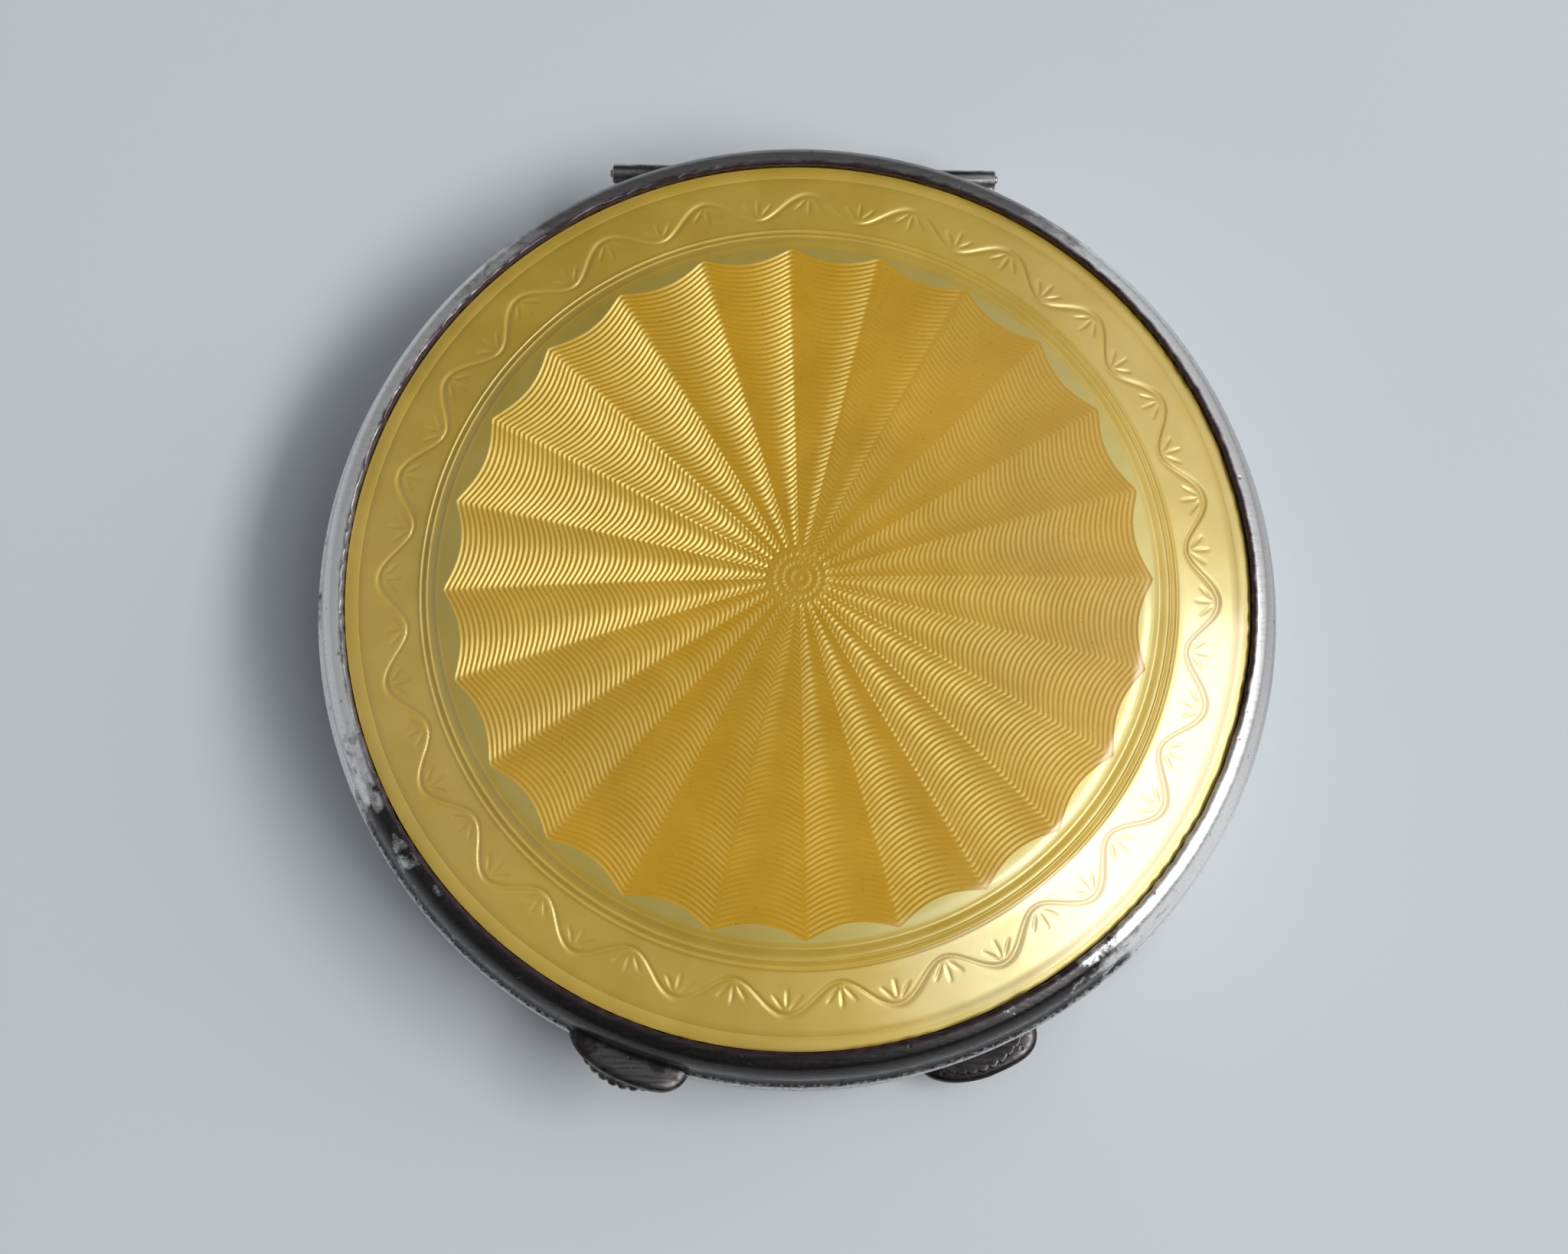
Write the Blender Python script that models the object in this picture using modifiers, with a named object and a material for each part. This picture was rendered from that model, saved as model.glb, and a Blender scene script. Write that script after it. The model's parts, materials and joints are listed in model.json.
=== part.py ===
"""Round double pill box: an enamelled top lid and a plain bottom lid, hinged at the back to one body.

Frame: +Z up, the hinges at +Y, the thumb-pieces towards -Y. The origin is the centre of the flat
underside. Lengths are written in millimetres and multiplied by MM, so that objects are in metres.
"""
import math

import bmesh
import bpy
from mathutils import Matrix, Vector

MM = 0.001

# Driving dimensions, in millimetres.
WIDEST_RADIUS = 25.0         # the bead around each lid
WALL_RADIUS = 24.55          # lid wall below the bead
BAND_RADIUS = 24.5           # middle band
WALL_INNER_RADIUS = 23.75    # inside of both lids' walls
BAND_INNER_RADIUS = 23.70
BEZEL_RADIUS = 23.66         # outside of the snap bezels
BEZEL_THICKNESS = 0.40
BEZEL_RISE = 1.0             # how far a bezel stands up into its lid
BEZEL_LEAD = 0.10            # softening of the bezel's crest

BOTTOM_SEAM = 3.2            # joint plane of the bottom lid
BAND_HEIGHT = 2.1
TOP_SEAM = BOTTOM_SEAM + BAND_HEIGHT
SEAM_GAP = 0.03              # half of the line seen between a lid and the band
BEAD_OFFSET = 1.3            # from a seam to the middle of that lid's bead
BEAD_RADIUS = 0.38
SHOULDER_RADIUS = 24.62       # where the rounded shoulder meets the bead
SHOULDER_OFFSET = 0.7
BEAD_TOP = TOP_SEAM + BEAD_OFFSET
BEAD_BOTTOM = BOTTOM_SEAM - BEAD_OFFSET

ENAMEL_RADIUS = 23.2         # edge of the enamelled face
STEP_OUTER_RADIUS = 19.1     # foot of the ring moulding inside the border
STEP_INNER_RADIUS = 18.0     # edge of the domed centre
EDGE_HEIGHT = BEAD_TOP + 2.65
STEP_OUTER_HEIGHT = BEAD_TOP + 3.4
STEP_INNER_HEIGHT = BEAD_TOP + 4.1
BOSS_HEIGHT = BEAD_TOP + 6.1
ENAMEL_THICKNESS = 0.24
PLATE_THICKNESS = 0.45
FIT = 0.03                   # gap left between pieces that are soldered or set together
LOOSE_FIT = 0.04             # gap left around a disc that is set in a ring

LIP_RADIUS = 23.50           # crest of the bezel lip rubbed over the enamel's edge
LIP_HEIGHT = EDGE_HEIGHT + 0.17
LIP_SOFTNESS = 0.22          # width of the lip's outer slope
LIP_DROP = 0.09              # fall of that slope
RECESS_RADIUS = ENAMEL_RADIUS + 0.05
LIP_TURN = 0.06              # how far the lip's inner face leans out towards its crest
LEDGE_RADIUS = 22.4          # inner edge of the ledge that the plate rests on
LEDGE_THICKNESS = 0.50
LINING_THICKNESS = 0.30
LINING_RISE = 2.4
LINING_EDGE_HEIGHT = BEAD_TOP + 1.2
DIVIDER_PLANE = TOP_SEAM - 0.5     # high in the band, so that both compartments are over 4 mm deep
DIVIDER_THICKNESS = 0.30
FLOOR_THICKNESS = 0.50
BASE_FLAT_RADIUS = 21.8
PAN_FLAT_RADIUS = 21.6       # flat floor inside the bottom lid
PAN_TURN_RADIUS = 23.0       # where the rounded corner inside the pan is halfway up
PAN_TURN_HEIGHT = 1.0
PAN_WALL_HEIGHT = 1.9
BAND_SOFTNESS = 0.12

HINGE_Y = 24.2               # both hinge axes, behind the centre
HINGE_LENGTH = 21.0
KNUCKLE_COUNT = 5
KNUCKLE_RADIUS = 0.48
KNUCKLE_BORE = 0.25
KNUCKLE_GAP = 0.06
KNUCKLE_LENGTH = HINGE_LENGTH / KNUCKLE_COUNT - KNUCKLE_GAP
KNUCKLE_SOFTNESS = 0.08
PIN_RADIUS = 0.21
PIN_OVERHANG = 0.12
PIN_ROUNDING = 0.10
BEARER_START = 4.0           # the bearers fill the gap between the round band and the straight hinge
BEARER_DEPTH = 0.28          # how far a bearer stands out behind the hinge axes
BEARER_INSET = 0.1           # from the band's edges to a bearer's
BEARER_ROUNDING = 0.25
GROOVE_RADIUS = KNUCKLE_RADIUS + FIT
LID_RELIEF_RADIUS = 0.60     # lid wall cut back around its hinge
WEB_NEAR = 0.12              # a web joins a lid's knuckle to its wall: its reach above the axis,
WEB_FAR = 0.58
WEB_INWARD = 0.44            # in front of it,
WEB_OUTWARD = 0.18           # behind it,
WEB_INSET = 0.05             # and short of the knuckle's ends
WEB_CLEARANCE = 0.02         # left to the lid wall

TOP_THUMB_ANGLE = -109.3      # degrees about Z, from +X
BOTTOM_THUMB_ANGLE = -66.5
TOP_THUMB_REACHES = (26.15, 26.5)     # how far out the tab and the grip stand, from the centre
BOTTOM_THUMB_REACHES = (26.3, 26.05)
THUMB_HALF_WIDTH = 3.05
THUMB_START = 0.12           # from a lid's seam to the near end of its thumb-piece
THUMB_ROOT = 1.5             # how far a tab is drawn inside the wall before it is cut to it
TAB_THICKNESS = 1.04
TAB_FLAT = 0.04              # flat left between the tab's rounded edges
GRIP_RADIUS = 3.3
SERRATIONS = 13
SERRATED_ARC = 120.0         # degrees
NOTCH_RADIUS = 0.13
NOTCH_LENGTH = 0.62
NOTCH_OFFSET = 0.18          # from the grip's near end to the middle of its notches

RING_STEPS = 72
DOME_RINGS = 3
LINING_RINGS = 3
SHOULDER_POINTS = 4
INNER_STEPS = 56
ROUND_STEPS = 20
CUTTER_STEPS = 32
GRIP_STEPS = 40
NOTCH_STEPS = 6
CUTTER_REACH = 3.0           # half height of the cutters that follow a lid's wall


def clear_scene():
    """Remove every object, so that the script can be run again."""
    for old in list(bpy.data.objects):
        bpy.data.objects.remove(old, do_unlink=True)


def new_collection(name):
    """Return an empty collection with this name, linked to the scene."""
    group = bpy.data.collections.new(name)
    bpy.context.scene.collection.children.link(group)
    return group


def metal(name, colour, roughness, metallic=1.0):
    """Return a plain Principled material."""
    made = bpy.data.materials.new(name)
    made.use_nodes = True
    shader = made.node_tree.nodes["Principled BSDF"]
    shader.inputs["Base Color"].default_value = (*colour, 1.0)
    shader.inputs["Roughness"].default_value = roughness
    shader.inputs["Metallic"].default_value = metallic
    return made


def add_object(name, mesh, group, finish=None):
    """Link a mesh as a named object."""
    made = bpy.data.objects.new(name, mesh)
    group.objects.link(made)
    if finish is not None:
        mesh.materials.append(finish)
    return made


def mesh_from(bm, name):
    """Turn a bmesh into a mesh in metres."""
    bmesh.ops.scale(bm, vec=Vector((MM, MM, MM)), verts=bm.verts)
    mesh = bpy.data.meshes.new(name)
    bm.to_mesh(mesh)
    bm.free()
    return mesh


def turned(name, profile, group, finish=None, steps=RING_STEPS, closed=True):
    """Turn a profile of (radius, height) points, in millimetres, about Z.

    The points run down the outer side, from top to bottom. A closed profile makes a ring, and an
    open one starts and ends on the axis.
    """
    bm = bmesh.new()
    points = [bm.verts.new((radius, 0.0, height)) for radius, height in profile]
    for first, second in zip(points, points[1:]):
        bm.edges.new((first, second))
    if closed:
        bm.edges.new((points[-1], points[0]))
    made = add_object(name, mesh_from(bm, name), group, finish)
    screw = made.modifiers.new("turn", "SCREW")
    screw.axis = "Z"
    screw.angle = math.tau
    screw.steps = steps
    screw.render_steps = steps
    screw.use_merge_vertices = True
    screw.merge_threshold = 1e-7
    screw.use_smooth_shade = True
    return made


def block(name, low, high, group, finish=None):
    """Add a box between two corners given in millimetres."""
    bm = bmesh.new()
    bmesh.ops.create_cube(bm, size=1.0)
    size = Vector(high) - Vector(low)
    middle = (Vector(high) + Vector(low)) / 2
    bmesh.ops.scale(bm, vec=size, verts=bm.verts)
    bmesh.ops.translate(bm, vec=middle, verts=bm.verts)
    return add_object(name, mesh_from(bm, name), group, finish)


def rod(name, radius, length, group, finish=None, along="X", segments=ROUND_STEPS):
    """Add a solid cylinder centred on its own origin, along X or Z."""
    bm = bmesh.new()
    bmesh.ops.create_cone(bm, cap_ends=True, segments=segments, radius1=radius, radius2=radius,
                          depth=length)
    if along == "X":
        bmesh.ops.rotate(bm, matrix=Matrix.Rotation(math.pi / 2, 3, "Y"), verts=bm.verts)
    return add_object(name, mesh_from(bm, name), group, finish)


def combine(target, other, operation):
    """Add an exact Boolean of another object to the target."""
    step = target.modifiers.new(other.name, "BOOLEAN")
    step.operation = operation
    step.solver = "EXACT"
    step.object = other


def place(made, x, y, z):
    """Put an object's origin at a point given in millimetres."""
    made.location = Vector((x, y, z)) * MM


def hide_as_cutter(made):
    """Show a cutter as wire only."""
    made.hide_render = True
    made.display_type = "WIRE"
    return made


def arc(centre, radius, start, end, count):
    """Return points along a circle's arc, angles in degrees."""
    points = []
    for index in range(count + 1):
        angle = math.radians(start + (end - start) * index / count)
        points.append((centre[0] + radius * math.cos(angle), centre[1] + radius * math.sin(angle)))
    return points


def face_height(radius):
    """Height of the enamelled face: a sloping border, a step and a domed centre."""
    if radius >= STEP_OUTER_RADIUS:
        share = (ENAMEL_RADIUS - radius) / (ENAMEL_RADIUS - STEP_OUTER_RADIUS)
        return EDGE_HEIGHT + share * (STEP_OUTER_HEIGHT - EDGE_HEIGHT)
    if radius >= STEP_INNER_RADIUS:
        share = (STEP_OUTER_RADIUS - radius) / (STEP_OUTER_RADIUS - STEP_INNER_RADIUS)
        return STEP_OUTER_HEIGHT + share * (STEP_INNER_HEIGHT - STEP_OUTER_HEIGHT)
    share = (radius / STEP_INNER_RADIUS) ** 2
    return BOSS_HEIGHT - share * (BOSS_HEIGHT - STEP_INNER_HEIGHT)


def face_layer(name, depth, thickness, group, finish):
    """Make one layer of the domed face, its top at a depth below the finished surface."""
    dome = [STEP_INNER_RADIUS * index / DOME_RINGS for index in range(DOME_RINGS + 1)]
    radii = dome + [STEP_OUTER_RADIUS, ENAMEL_RADIUS]
    top = [(radius, face_height(radius) - depth) for radius in radii]
    under = [(radius, face_height(radius) - depth - thickness) for radius in reversed(radii)]
    return turned(name, top + under, group, finish, steps=INNER_STEPS, closed=False)


def bead_and_wall(grown=0.0):
    """Outline from above a lid's bead down to its wall, heights counted from the bead's middle."""
    outline = [(SHOULDER_RADIUS + grown, SHOULDER_OFFSET)]
    outline += arc((WIDEST_RADIUS - BEAD_RADIUS, 0.0), BEAD_RADIUS + grown, 60, -60, 4)
    outline.append((WALL_RADIUS + grown, -SHOULDER_OFFSET * 0.6))
    return outline


def top_rim_profile():
    """Section of the top lid's rim: lip, rounded shoulder, bead, wall and inner ledge."""
    shoulder_top = (LIP_RADIUS + LIP_SOFTNESS, LIP_HEIGHT - LIP_DROP)
    shoulder_end = (SHOULDER_RADIUS, BEAD_TOP + SHOULDER_OFFSET)
    shoulder = []
    for index in range(SHOULDER_POINTS):
        angle = math.pi / 2 * index / SHOULDER_POINTS
        radius = shoulder_top[0] + (shoulder_end[0] - shoulder_top[0]) * math.sin(angle)
        height = shoulder_end[1] + (shoulder_top[1] - shoulder_end[1]) * math.cos(angle)
        shoulder.append((radius, height))
    border_slope = (STEP_OUTER_HEIGHT - EDGE_HEIGHT) / (ENAMEL_RADIUS - STEP_OUTER_RADIUS)
    seat = EDGE_HEIGHT - ENAMEL_THICKNESS - PLATE_THICKNESS - 2 * FIT
    ledge = seat + (ENAMEL_RADIUS - LEDGE_RADIUS) * border_slope
    wall_end = (WALL_INNER_RADIUS, TOP_SEAM + SEAM_GAP)
    outer = [(RECESS_RADIUS + LIP_TURN, LIP_HEIGHT), (LIP_RADIUS, LIP_HEIGHT)] + shoulder
    outer += [(radius, BEAD_TOP + height) for radius, height in bead_and_wall()]
    outer.append((WALL_RADIUS, TOP_SEAM + SEAM_GAP))
    inner = [
        wall_end,
        (WALL_INNER_RADIUS, seat - LEDGE_THICKNESS - LIP_DROP),
        (LEDGE_RADIUS, ledge - LEDGE_THICKNESS),
        (LEDGE_RADIUS, ledge),
        (RECESS_RADIUS, seat),
        (RECESS_RADIUS, (EDGE_HEIGHT + LIP_HEIGHT) / 2),
    ]
    return outer + inner


def bottom_shell_profile():
    """Section of the bottom lid: a pan with a bead, rounded edge and flat base."""
    wall_end = BOTTOM_SEAM - SEAM_GAP
    outer = [(WALL_RADIUS, wall_end)]
    outer += [(radius, BEAD_BOTTOM - height) for radius, height in reversed(bead_and_wall())]
    edge_height = BEAD_BOTTOM - SHOULDER_OFFSET
    for index in range(1, SHOULDER_POINTS + 1):
        angle = math.pi / 2 * index / SHOULDER_POINTS
        radius = BASE_FLAT_RADIUS + (SHOULDER_RADIUS - BASE_FLAT_RADIUS) * math.cos(angle)
        outer.append((radius, edge_height * (1 - math.sin(angle))))
    outer.append((0.0, 0.0))
    # Start on the axis inside the pan, so that the open profile ends on the axis underneath.
    inside = [(0.0, FLOOR_THICKNESS), (PAN_FLAT_RADIUS, FLOOR_THICKNESS),
              (PAN_TURN_RADIUS, PAN_TURN_HEIGHT), (WALL_INNER_RADIUS, PAN_WALL_HEIGHT),
              (WALL_INNER_RADIUS, wall_end)]
    return inside + outer


def bezel_profile(foot, crest, side):
    """Section of a snap bezel, from its foot on the divider to the soft crest inside its lid.

    side is 1 for the upper bezel and -1 for the lower one, whose points run the other way.
    """
    inner = BEZEL_RADIUS - BEZEL_THICKNESS
    profile = [
        (BEZEL_RADIUS - BEZEL_LEAD, crest),
        (BEZEL_RADIUS, crest - side * 2 * BEZEL_LEAD),
        (BEZEL_RADIUS, foot),
        (inner, foot),
        (inner, crest - side * BEZEL_LEAD),
    ]
    if side < 0:
        profile.reverse()
    return profile


def knuckle(name, centre_x, seam, group, finish):
    """Make one hinge tube along X, centred on a hinge axis."""
    half = KNUCKLE_LENGTH / 2
    section = [
        (KNUCKLE_BORE, half),
        (KNUCKLE_RADIUS - KNUCKLE_SOFTNESS, half),
        (KNUCKLE_RADIUS, half - KNUCKLE_SOFTNESS),
        (KNUCKLE_RADIUS, KNUCKLE_SOFTNESS - half),
        (KNUCKLE_RADIUS - KNUCKLE_SOFTNESS, -half),
        (KNUCKLE_BORE, -half),
    ]
    made = turned(name, section, group, finish, steps=ROUND_STEPS)
    made.rotation_euler = (0.0, math.pi / 2, 0.0)
    place(made, centre_x, HINGE_Y, seam)
    return made


def add_web(made, centre_x, seam, side, cutters):
    """Join a lid's knuckle to its lid with a small web above or below the tube.

    side is 1 for the top lid and -1 for the bottom lid.
    """
    near, far = sorted((seam + side * WEB_NEAR, seam + side * WEB_FAR))
    half = KNUCKLE_LENGTH / 2 - WEB_INSET
    web = hide_as_cutter(block(made.name + "_web",
                               (centre_x - half, HINGE_Y - WEB_INWARD, near),
                               (centre_x + half, HINGE_Y + WEB_OUTWARD, far), cutters))
    limit = hide_as_cutter(rod(made.name + "_limit", LID_RELIEF_RADIUS - WEB_CLEARANCE,
                               KNUCKLE_LENGTH, cutters))
    place(limit, centre_x, HINGE_Y, seam)
    combine(web, limit, "INTERSECT")
    combine(made, web, "UNION")
    bore = hide_as_cutter(rod(made.name + "_bore", KNUCKLE_BORE, KNUCKLE_LENGTH + 1.0, cutters))
    place(bore, centre_x, HINGE_Y, seam)
    combine(made, bore, "DIFFERENCE")


def pin(name, seam, group, finish):
    """Make a hinge pin with rounded ends."""
    half = HINGE_LENGTH / 2 + PIN_OVERHANG
    nose = arc((PIN_RADIUS - PIN_ROUNDING, half - PIN_ROUNDING), PIN_ROUNDING, 90, 0, 2)
    tail = [(radius, -height) for radius, height in reversed(nose)]
    profile = [(0.0, half)] + nose + tail + [(0.0, -half)]
    made = turned(name, profile, group, finish, steps=ROUND_STEPS, closed=False)
    made.rotation_euler = (0.0, math.pi / 2, 0.0)
    place(made, 0.0, HINGE_Y, seam)
    return made


def wall_cutter(name, seam, side, cutters):
    """Outside of a lid's wall and bead, grown by the fit, for cutting what is soldered onto it."""
    bead = seam + side * BEAD_OFFSET
    outline = [(0.0, CUTTER_REACH), (SHOULDER_RADIUS + FIT, CUTTER_REACH)] + bead_and_wall(FIT)
    outline += [(WALL_RADIUS + FIT, -CUTTER_REACH), (0.0, -CUTTER_REACH)]
    profile = [(radius, bead + side * height) for radius, height in outline]
    if side < 0:
        profile.reverse()
    return hide_as_cutter(turned(name, profile, cutters, closed=False))


def thumb_piece(name, seam, side, reaches, group, cutters, finish):
    """Make a thumb-piece on +X: a rounded tab over a serrated half-round grip.

    side is 1 for the top lid and -1 for the bottom lid. reaches are the radii that the tab and the
    grip stand out to. Returns the piece and the cutters that turn with it.
    """
    tab_reach, grip_reach = reaches
    tab_height = seam + side * BEAD_OFFSET
    near, far = sorted((seam + side * THUMB_START, tab_height))
    grip_centre = grip_reach - GRIP_RADIUS
    made = rod(name, GRIP_RADIUS, far - near, group, finish, along="Z", segments=GRIP_STEPS)
    place(made, grip_centre, 0.0, (near + far) / 2)
    turning = []
    notch_height = seam + side * (THUMB_START + NOTCH_OFFSET)
    for index in range(SERRATIONS):
        turn = math.radians(SERRATED_ARC * (index / (SERRATIONS - 1) - 0.5))
        notch = hide_as_cutter(rod(f"{name}_notch_{index}", NOTCH_RADIUS, NOTCH_LENGTH, cutters,
                                   along="Z", segments=NOTCH_STEPS))
        place(notch, grip_centre + GRIP_RADIUS * math.cos(turn), GRIP_RADIUS * math.sin(turn),
              notch_height)
        combine(made, notch, "DIFFERENCE")
        turning.append(notch)
    half_thickness = TAB_THICKNESS / 2
    tab = hide_as_cutter(block(
        name + "_tab",
        (WALL_RADIUS - THUMB_ROOT, -THUMB_HALF_WIDTH, tab_height - half_thickness),
        (tab_reach, THUMB_HALF_WIDTH, tab_height + half_thickness), cutters))
    rounding = tab.modifiers.new("rounding", "BEVEL")
    rounding.width = (half_thickness - TAB_FLAT / 2) * MM
    rounding.segments = 3
    combine(made, tab, "UNION")
    turning.append(tab)
    combine(made, wall_cutter(name + "_wall", seam, side, cutters), "DIFFERENCE")
    return made, turning


def make_finishes():
    """Return the box's materials by name."""
    return {
        "silver": metal("silver", (0.62, 0.61, 0.60), 0.28),
        "gilt": metal("gilt", (0.80, 0.60, 0.28), 0.30),
        "ground": metal("guilloche_ground", (0.72, 0.52, 0.14), 0.35),
        "steel": metal("hinge_steel", (0.45, 0.44, 0.43), 0.35),
        "enamel": metal("enamel", (0.80, 0.60, 0.18), 0.08, metallic=0.0),
    }


def hinge_cylinder(name, radius, length, seam, cutters):
    """Make a cutting cylinder around a hinge axis."""
    made = hide_as_cutter(rod(name, radius, length, cutters, segments=CUTTER_STEPS))
    place(made, 0.0, HINGE_Y, seam)
    return made


def make_band(grooves, group, finish):
    """Make the ring that both lids close on, grooved for the hinge tubes."""
    low = BOTTOM_SEAM + SEAM_GAP
    high = TOP_SEAM - SEAM_GAP
    band = turned("middle_band", [
        (BAND_RADIUS - BAND_SOFTNESS, high), (BAND_RADIUS, high - BAND_SOFTNESS),
        (BAND_RADIUS, low + BAND_SOFTNESS), (BAND_RADIUS - BAND_SOFTNESS, low),
        (BAND_INNER_RADIUS, low), (BAND_INNER_RADIUS, high)], group, finish)
    for groove in grooves:
        combine(band, groove, "DIFFERENCE")


def make_divider_and_bezels(group, finish):
    """Make the plate between the compartments and the two bezels that the lids snap over."""
    top = DIVIDER_PLANE + DIVIDER_THICKNESS / 2
    under = DIVIDER_PLANE - DIVIDER_THICKNESS / 2
    radius = BAND_INNER_RADIUS - LOOSE_FIT
    turned("divider_plate", [(0.0, top), (radius, top), (radius, under), (0.0, under)],
           group, finish, steps=INNER_STEPS, closed=False)
    turned("top_snap_bezel", bezel_profile(top + FIT, TOP_SEAM + BEZEL_RISE, 1),
           group, finish, steps=INNER_STEPS)
    turned("bottom_snap_bezel", bezel_profile(under - FIT, BOTTOM_SEAM - BEZEL_RISE, -1),
           group, finish, steps=INNER_STEPS)


def make_bearers(grooves, group, cutters, finish):
    """Make the two blocks behind the band that carry the straight hinge tubes."""
    low = BOTTOM_SEAM + SEAM_GAP + BEARER_INSET
    high = TOP_SEAM - SEAM_GAP - BEARER_INSET
    outside = hide_as_cutter(rod("band_outside", BAND_RADIUS + FIT, 2 * CUTTER_REACH, cutters,
                                 along="Z", segments=RING_STEPS))
    place(outside, 0.0, 0.0, (TOP_SEAM + BOTTOM_SEAM) / 2)
    for spot, start, end in (("left", -HINGE_LENGTH / 2, -BEARER_START),
                             ("right", BEARER_START, HINGE_LENGTH / 2)):
        bearer = block("hinge_bearer_" + spot, (start, HINGE_Y - BEARER_START, low),
                       (end, HINGE_Y + BEARER_DEPTH, high), group, finish)
        rounding = bearer.modifiers.new("rounding", "BEVEL")
        rounding.width = BEARER_ROUNDING * MM
        rounding.segments = 2
        combine(bearer, outside, "DIFFERENCE")
        for groove in grooves:
            combine(bearer, groove, "DIFFERENCE")


def make_hinge(label, seam, side, group, cutters, finishes):
    """Make one hinge: tubes 1, 3 and 5 on the body, 2 and 4 on the lid, and the pin."""
    pitch = HINGE_LENGTH / KNUCKLE_COUNT
    for index, spot in ((-2, "left"), (0, "centre"), (2, "right")):
        knuckle(f"{label}_body_knuckle_{spot}", index * pitch, seam, group, finishes["silver"])
    on_lid = []
    for index, spot in ((-1, "left"), (1, "right")):
        made = knuckle(f"{label}_lid_knuckle_{spot}", index * pitch, seam, group, finishes["silver"])
        add_web(made, index * pitch, seam, side, cutters)
        on_lid.append(made)
    pin(f"{label}_hinge_pin", seam, group, finishes["steel"])
    return on_lid


def make_top_lid(relief, group, finishes):
    """Make the rim, the engine-turned plate, the enamel over it and the lining under it."""
    rim = turned("top_lid_rim", top_rim_profile(), group, finishes["silver"])
    combine(rim, relief, "DIFFERENCE")
    plate = face_layer("guilloche_plate", ENAMEL_THICKNESS + FIT, PLATE_THICKNESS, group,
                       finishes["ground"])
    glaze = face_layer("enamel_layer", 0.0, ENAMEL_THICKNESS, group, finishes["enamel"])
    edge = WALL_INNER_RADIUS - LOOSE_FIT
    top = []
    for index in range(LINING_RINGS + 1):
        share = index / LINING_RINGS
        top.append((edge * share, LINING_EDGE_HEIGHT + LINING_RISE * (1 - share ** 2)))
    under = [(radius, height - LINING_THICKNESS) for radius, height in reversed(top)]
    lining = turned("top_lid_lining", top + under, group, finishes["gilt"], steps=INNER_STEPS,
                    closed=False)
    return [rim, plate, glaze, lining]


def make_bottom_lid(relief, group, finish):
    """Make the plain pan that closes the underside."""
    shell = turned("bottom_lid_shell", bottom_shell_profile(), group, finish, closed=False)
    combine(shell, relief, "DIFFERENCE")
    return [shell]


def make_thumb_piece(label, angle, seam, side, reaches, group, cutters, finish):
    """Make a thumb-piece on +X and turn it, with its cutters, to its place on the front."""
    made, turning = thumb_piece(f"{label}_thumb_piece", seam, side, reaches, group, cutters, finish)
    turn = Matrix.Rotation(math.radians(angle), 4, "Z")
    bpy.context.view_layer.update()
    for item in [made] + turning:
        item.matrix_world = turn @ item.matrix_world
    return made


def hang(label, seam, pieces, group):
    """Parent a lid's pieces to an empty on its hinge axis."""
    axis = bpy.data.objects.new(label + "_lid_axis", None)
    axis.empty_display_size = 5 * MM
    group.objects.link(axis)
    place(axis, 0.0, HINGE_Y, seam)
    bpy.context.view_layer.update()
    for item in pieces:
        item.parent = axis
        item.matrix_parent_inverse = axis.matrix_world.inverted()


def build():
    """Build the whole box."""
    clear_scene()
    group = new_collection("pill_box")
    cutters = new_collection("pill_box_cutters")
    finishes = make_finishes()
    silver = finishes["silver"]

    seams = {"top": TOP_SEAM, "bottom": BOTTOM_SEAM}
    sides = {"top": 1, "bottom": -1}
    grooves = []
    reliefs = {}
    for label, seam in seams.items():
        grooves.append(hinge_cylinder(label + "_groove", GROOVE_RADIUS, HINGE_LENGTH + 2.0, seam, cutters))
        reliefs[label] = hinge_cylinder(label + "_relief", LID_RELIEF_RADIUS, HINGE_LENGTH, seam, cutters)

    make_band(grooves, group, silver)
    make_divider_and_bezels(group, finishes["gilt"])
    make_bearers(grooves, group, cutters, silver)

    lids = {
        "top": make_top_lid(reliefs["top"], group, finishes),
        "bottom": make_bottom_lid(reliefs["bottom"], group, silver),
    }
    angles = {"top": TOP_THUMB_ANGLE, "bottom": BOTTOM_THUMB_ANGLE}
    reaches = {"top": TOP_THUMB_REACHES, "bottom": BOTTOM_THUMB_REACHES}
    for label, seam in seams.items():
        side = sides[label]
        lids[label] += make_hinge(label, seam, side, group, cutters, finishes)
        lids[label].append(make_thumb_piece(label, angles[label], seam, side, reaches[label],
                                            group, cutters, silver))
        hang(label, seam, lids[label], group)


build()
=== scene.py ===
"""Looks of the round double pill box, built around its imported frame.

Shapes are worked out in millimetres, and become metres in mesh_from_rows() and its like. Angles
that end in _TURN are measured about Z from +X. The hinges are at +Y.
"""
import json
import math

import bmesh
import bpy
import numpy as np
from mathutils import Matrix, Vector


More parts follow.
